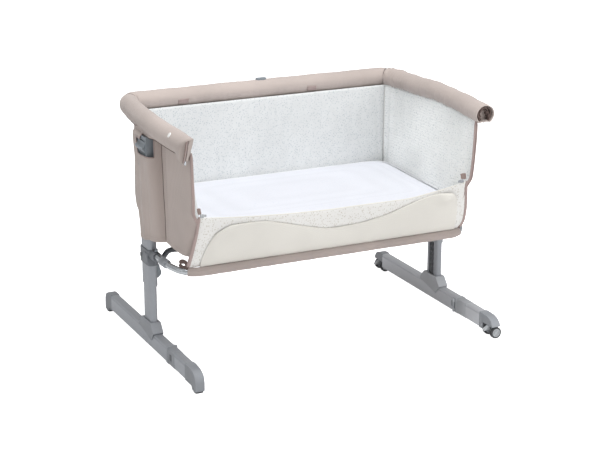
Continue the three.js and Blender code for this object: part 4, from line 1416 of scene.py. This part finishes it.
# ---- Small parts ----
def snap_button():
    centre = Vector((-0.4475, -0.195, 0.6375))
    normal = Vector((-0.86, -0.08, 0.5)).normalized()
    side = UP.cross(normal).normalized()
    up = normal.cross(side)
    rings = []
    dome = [
        (0.0068, -0.001), (0.0068, 0.0004), (0.0060, 0.0013), (0.0046, 0.0015), (0.0038, 0.0009),
        (0.0004, 0.0008),
    ]
    for r, out in dome:
        rings.append([
            centre + normal * out + side * (math.cos(a) * r * 0.72) + up * (math.sin(a) * r)
            for a in np.linspace(0, 2 * math.pi, 28, endpoint=False)
        ])
    add_piece("rail_snap", *skin(rings), WHITE_PLASTIC, angle=50)


def strap_set():
    """The short webbings at the front side's upper corners, each with its side-release buckle."""
    for side, s in SIDES:
        x = s * (0.3905 if side == "left" else 0.3790)
        webbing = smooth_path(
            [(x, -0.2385, 0.4525), (x, -0.2412, 0.4450), (x - s * 0.001, -0.2436, 0.4370)], 0.0012,
        )
        strip(
            f"{side}_strap", webbing, 0.0100 if side == "left" else 0.0170, 0.0022, TAUPE_WEBBING,
            Vector((0, 1, 0.2)), 12, 0.6, slot="taupe_fabric",
        )
        shade = (GREY_PLASTIC, "grey_plastic") if side == "right" else (LIGHT_PLASTIC, "light_plastic")
        for part, along, wide, thick in (
            ("latch", 0.0105, 0.0098, 0.0052), ("tongue", 0.0075, 0.0060, 0.0034),
        ):
            end = x - s * (0.0010 if part == "latch" else 0.0110)
            run = [Vector((end - s * along * t, -0.2450, 0.4338 - 0.0014 * t)) for t in np.linspace(0, 1, 9)]
            strip(
                f"{side}_strap_{part}", run, thick, wide, shade[0], Vector((0, 0.33, 0.94)), 14, 0.55,
                slot=shade[1],
            )
        tube = Vector((s * 0.4165, -0.1680, 0.2705))
        along = Vector((s * 0.55, 0.83, 0.07)).normalized()
        aside = along.cross(UP).normalized()
        over = aside.cross(along)
        ring = [
            tube - along * (0.0100 - math.cos(a) * 0.0105) + over * (0.0185 + math.sin(a) * 0.0085)
            for a in np.linspace(0, 2 * math.pi, 44)
        ]
        strip(f"{side}_corner_loop", ring, 0.0120, 0.0026, DARK_WEBBING, aside, 10, 0.6, slot="taupe_fabric")
        path = smooth_path(DROP_PATH, 0.003)
        clamp = [Vector((s * p.x, p.y, p.z)) for p in path if -0.124 < p.y < -0.086]
        strip(f"{side}_arm_clamp", clamp, 0.0235, 0.0235, GREY_PLASTIC, sides=24, slot="grey_plastic")


def corner_clip():
    for side, s in SIDES:
        path = [Vector((s * 0.3865, 0.2165, z)) for z in np.linspace(0.4930, 0.5010, 8)]
        strip(
            f"{side}_corner_clip", path, 0.0046, 0.0026, DARK_PLASTIC, BACKWARD, 10, 0.7,
            slot="dark_plastic",
        )


def collar_window():
    """The height mark's little window on each collar's outer face, drawn as a near-black strip: painted shade
    in the slot.
    """
    for side, s in SIDES:
        low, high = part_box(f"{side}_collar")
        x = s * max(abs(low.x), abs(high.x))
        pale = [Vector((x - s * 0.0002, 0.0165, z)) for z in np.linspace(0.2600, 0.2715, 8)]
        strip(
            f"{side}_height_window_shade", pale, 0.0062, 0.0014, SLOT_SHADE_PLASTIC, SIDEWAYS, 12, 0.6,
            slot="dark_plastic",
        )


def height_rack():
    """The toothed rack in each column's inner groove, which the latch drops into."""
    for side, s in SIDES:
        face = s * (LEG_X - COLUMN_HALF_X)
        deep, proud = face + s * 0.0037, face + s * 0.0012
        vertices = []
        z = 0.090
        while z < 0.548:
            for level, x in ((z, deep), (z + 0.0010, proud), (z + 0.0080, proud), (z + 0.0090, deep)):
                vertices += [Vector((x, -0.0085, level)), Vector((x, 0.0085, level))]
            z += 0.0150
        faces = [(k, k + 1, k + 3, k + 2) for k in range(0, len(vertices) - 2, 2)]
        rack = add_piece(
            f"{side}_height_rack", vertices, faces, BUTTON_PLASTIC, "dark_plastic", (), 20, f"{side}_leg",
        )
        modifier(rack, "SOLIDIFY", thickness=0.0006, offset=0.0)


# ---- Build ----
add_camera()
add_studio()
hard_parts()
foot_bars()
wheels()
lower_tubes()
rail_covers()
for side, s in SIDES:
    end_panel(side, s)
    end_lining(side, s)
back_wall()
front_side()
front_pocket()
hem_band()
mattress()
snap_button()
strap_set()
corner_clip()
collar_window()
height_rack()

vertices, faces = grid(lambda u, v: Vector((u, v, 0)), np.linspace(-15, 15, 9), np.linspace(-15, 15, 9))
floor = new_object("floor", new_mesh("floor", vertices, faces))
floor.data.materials.append(floor_material())
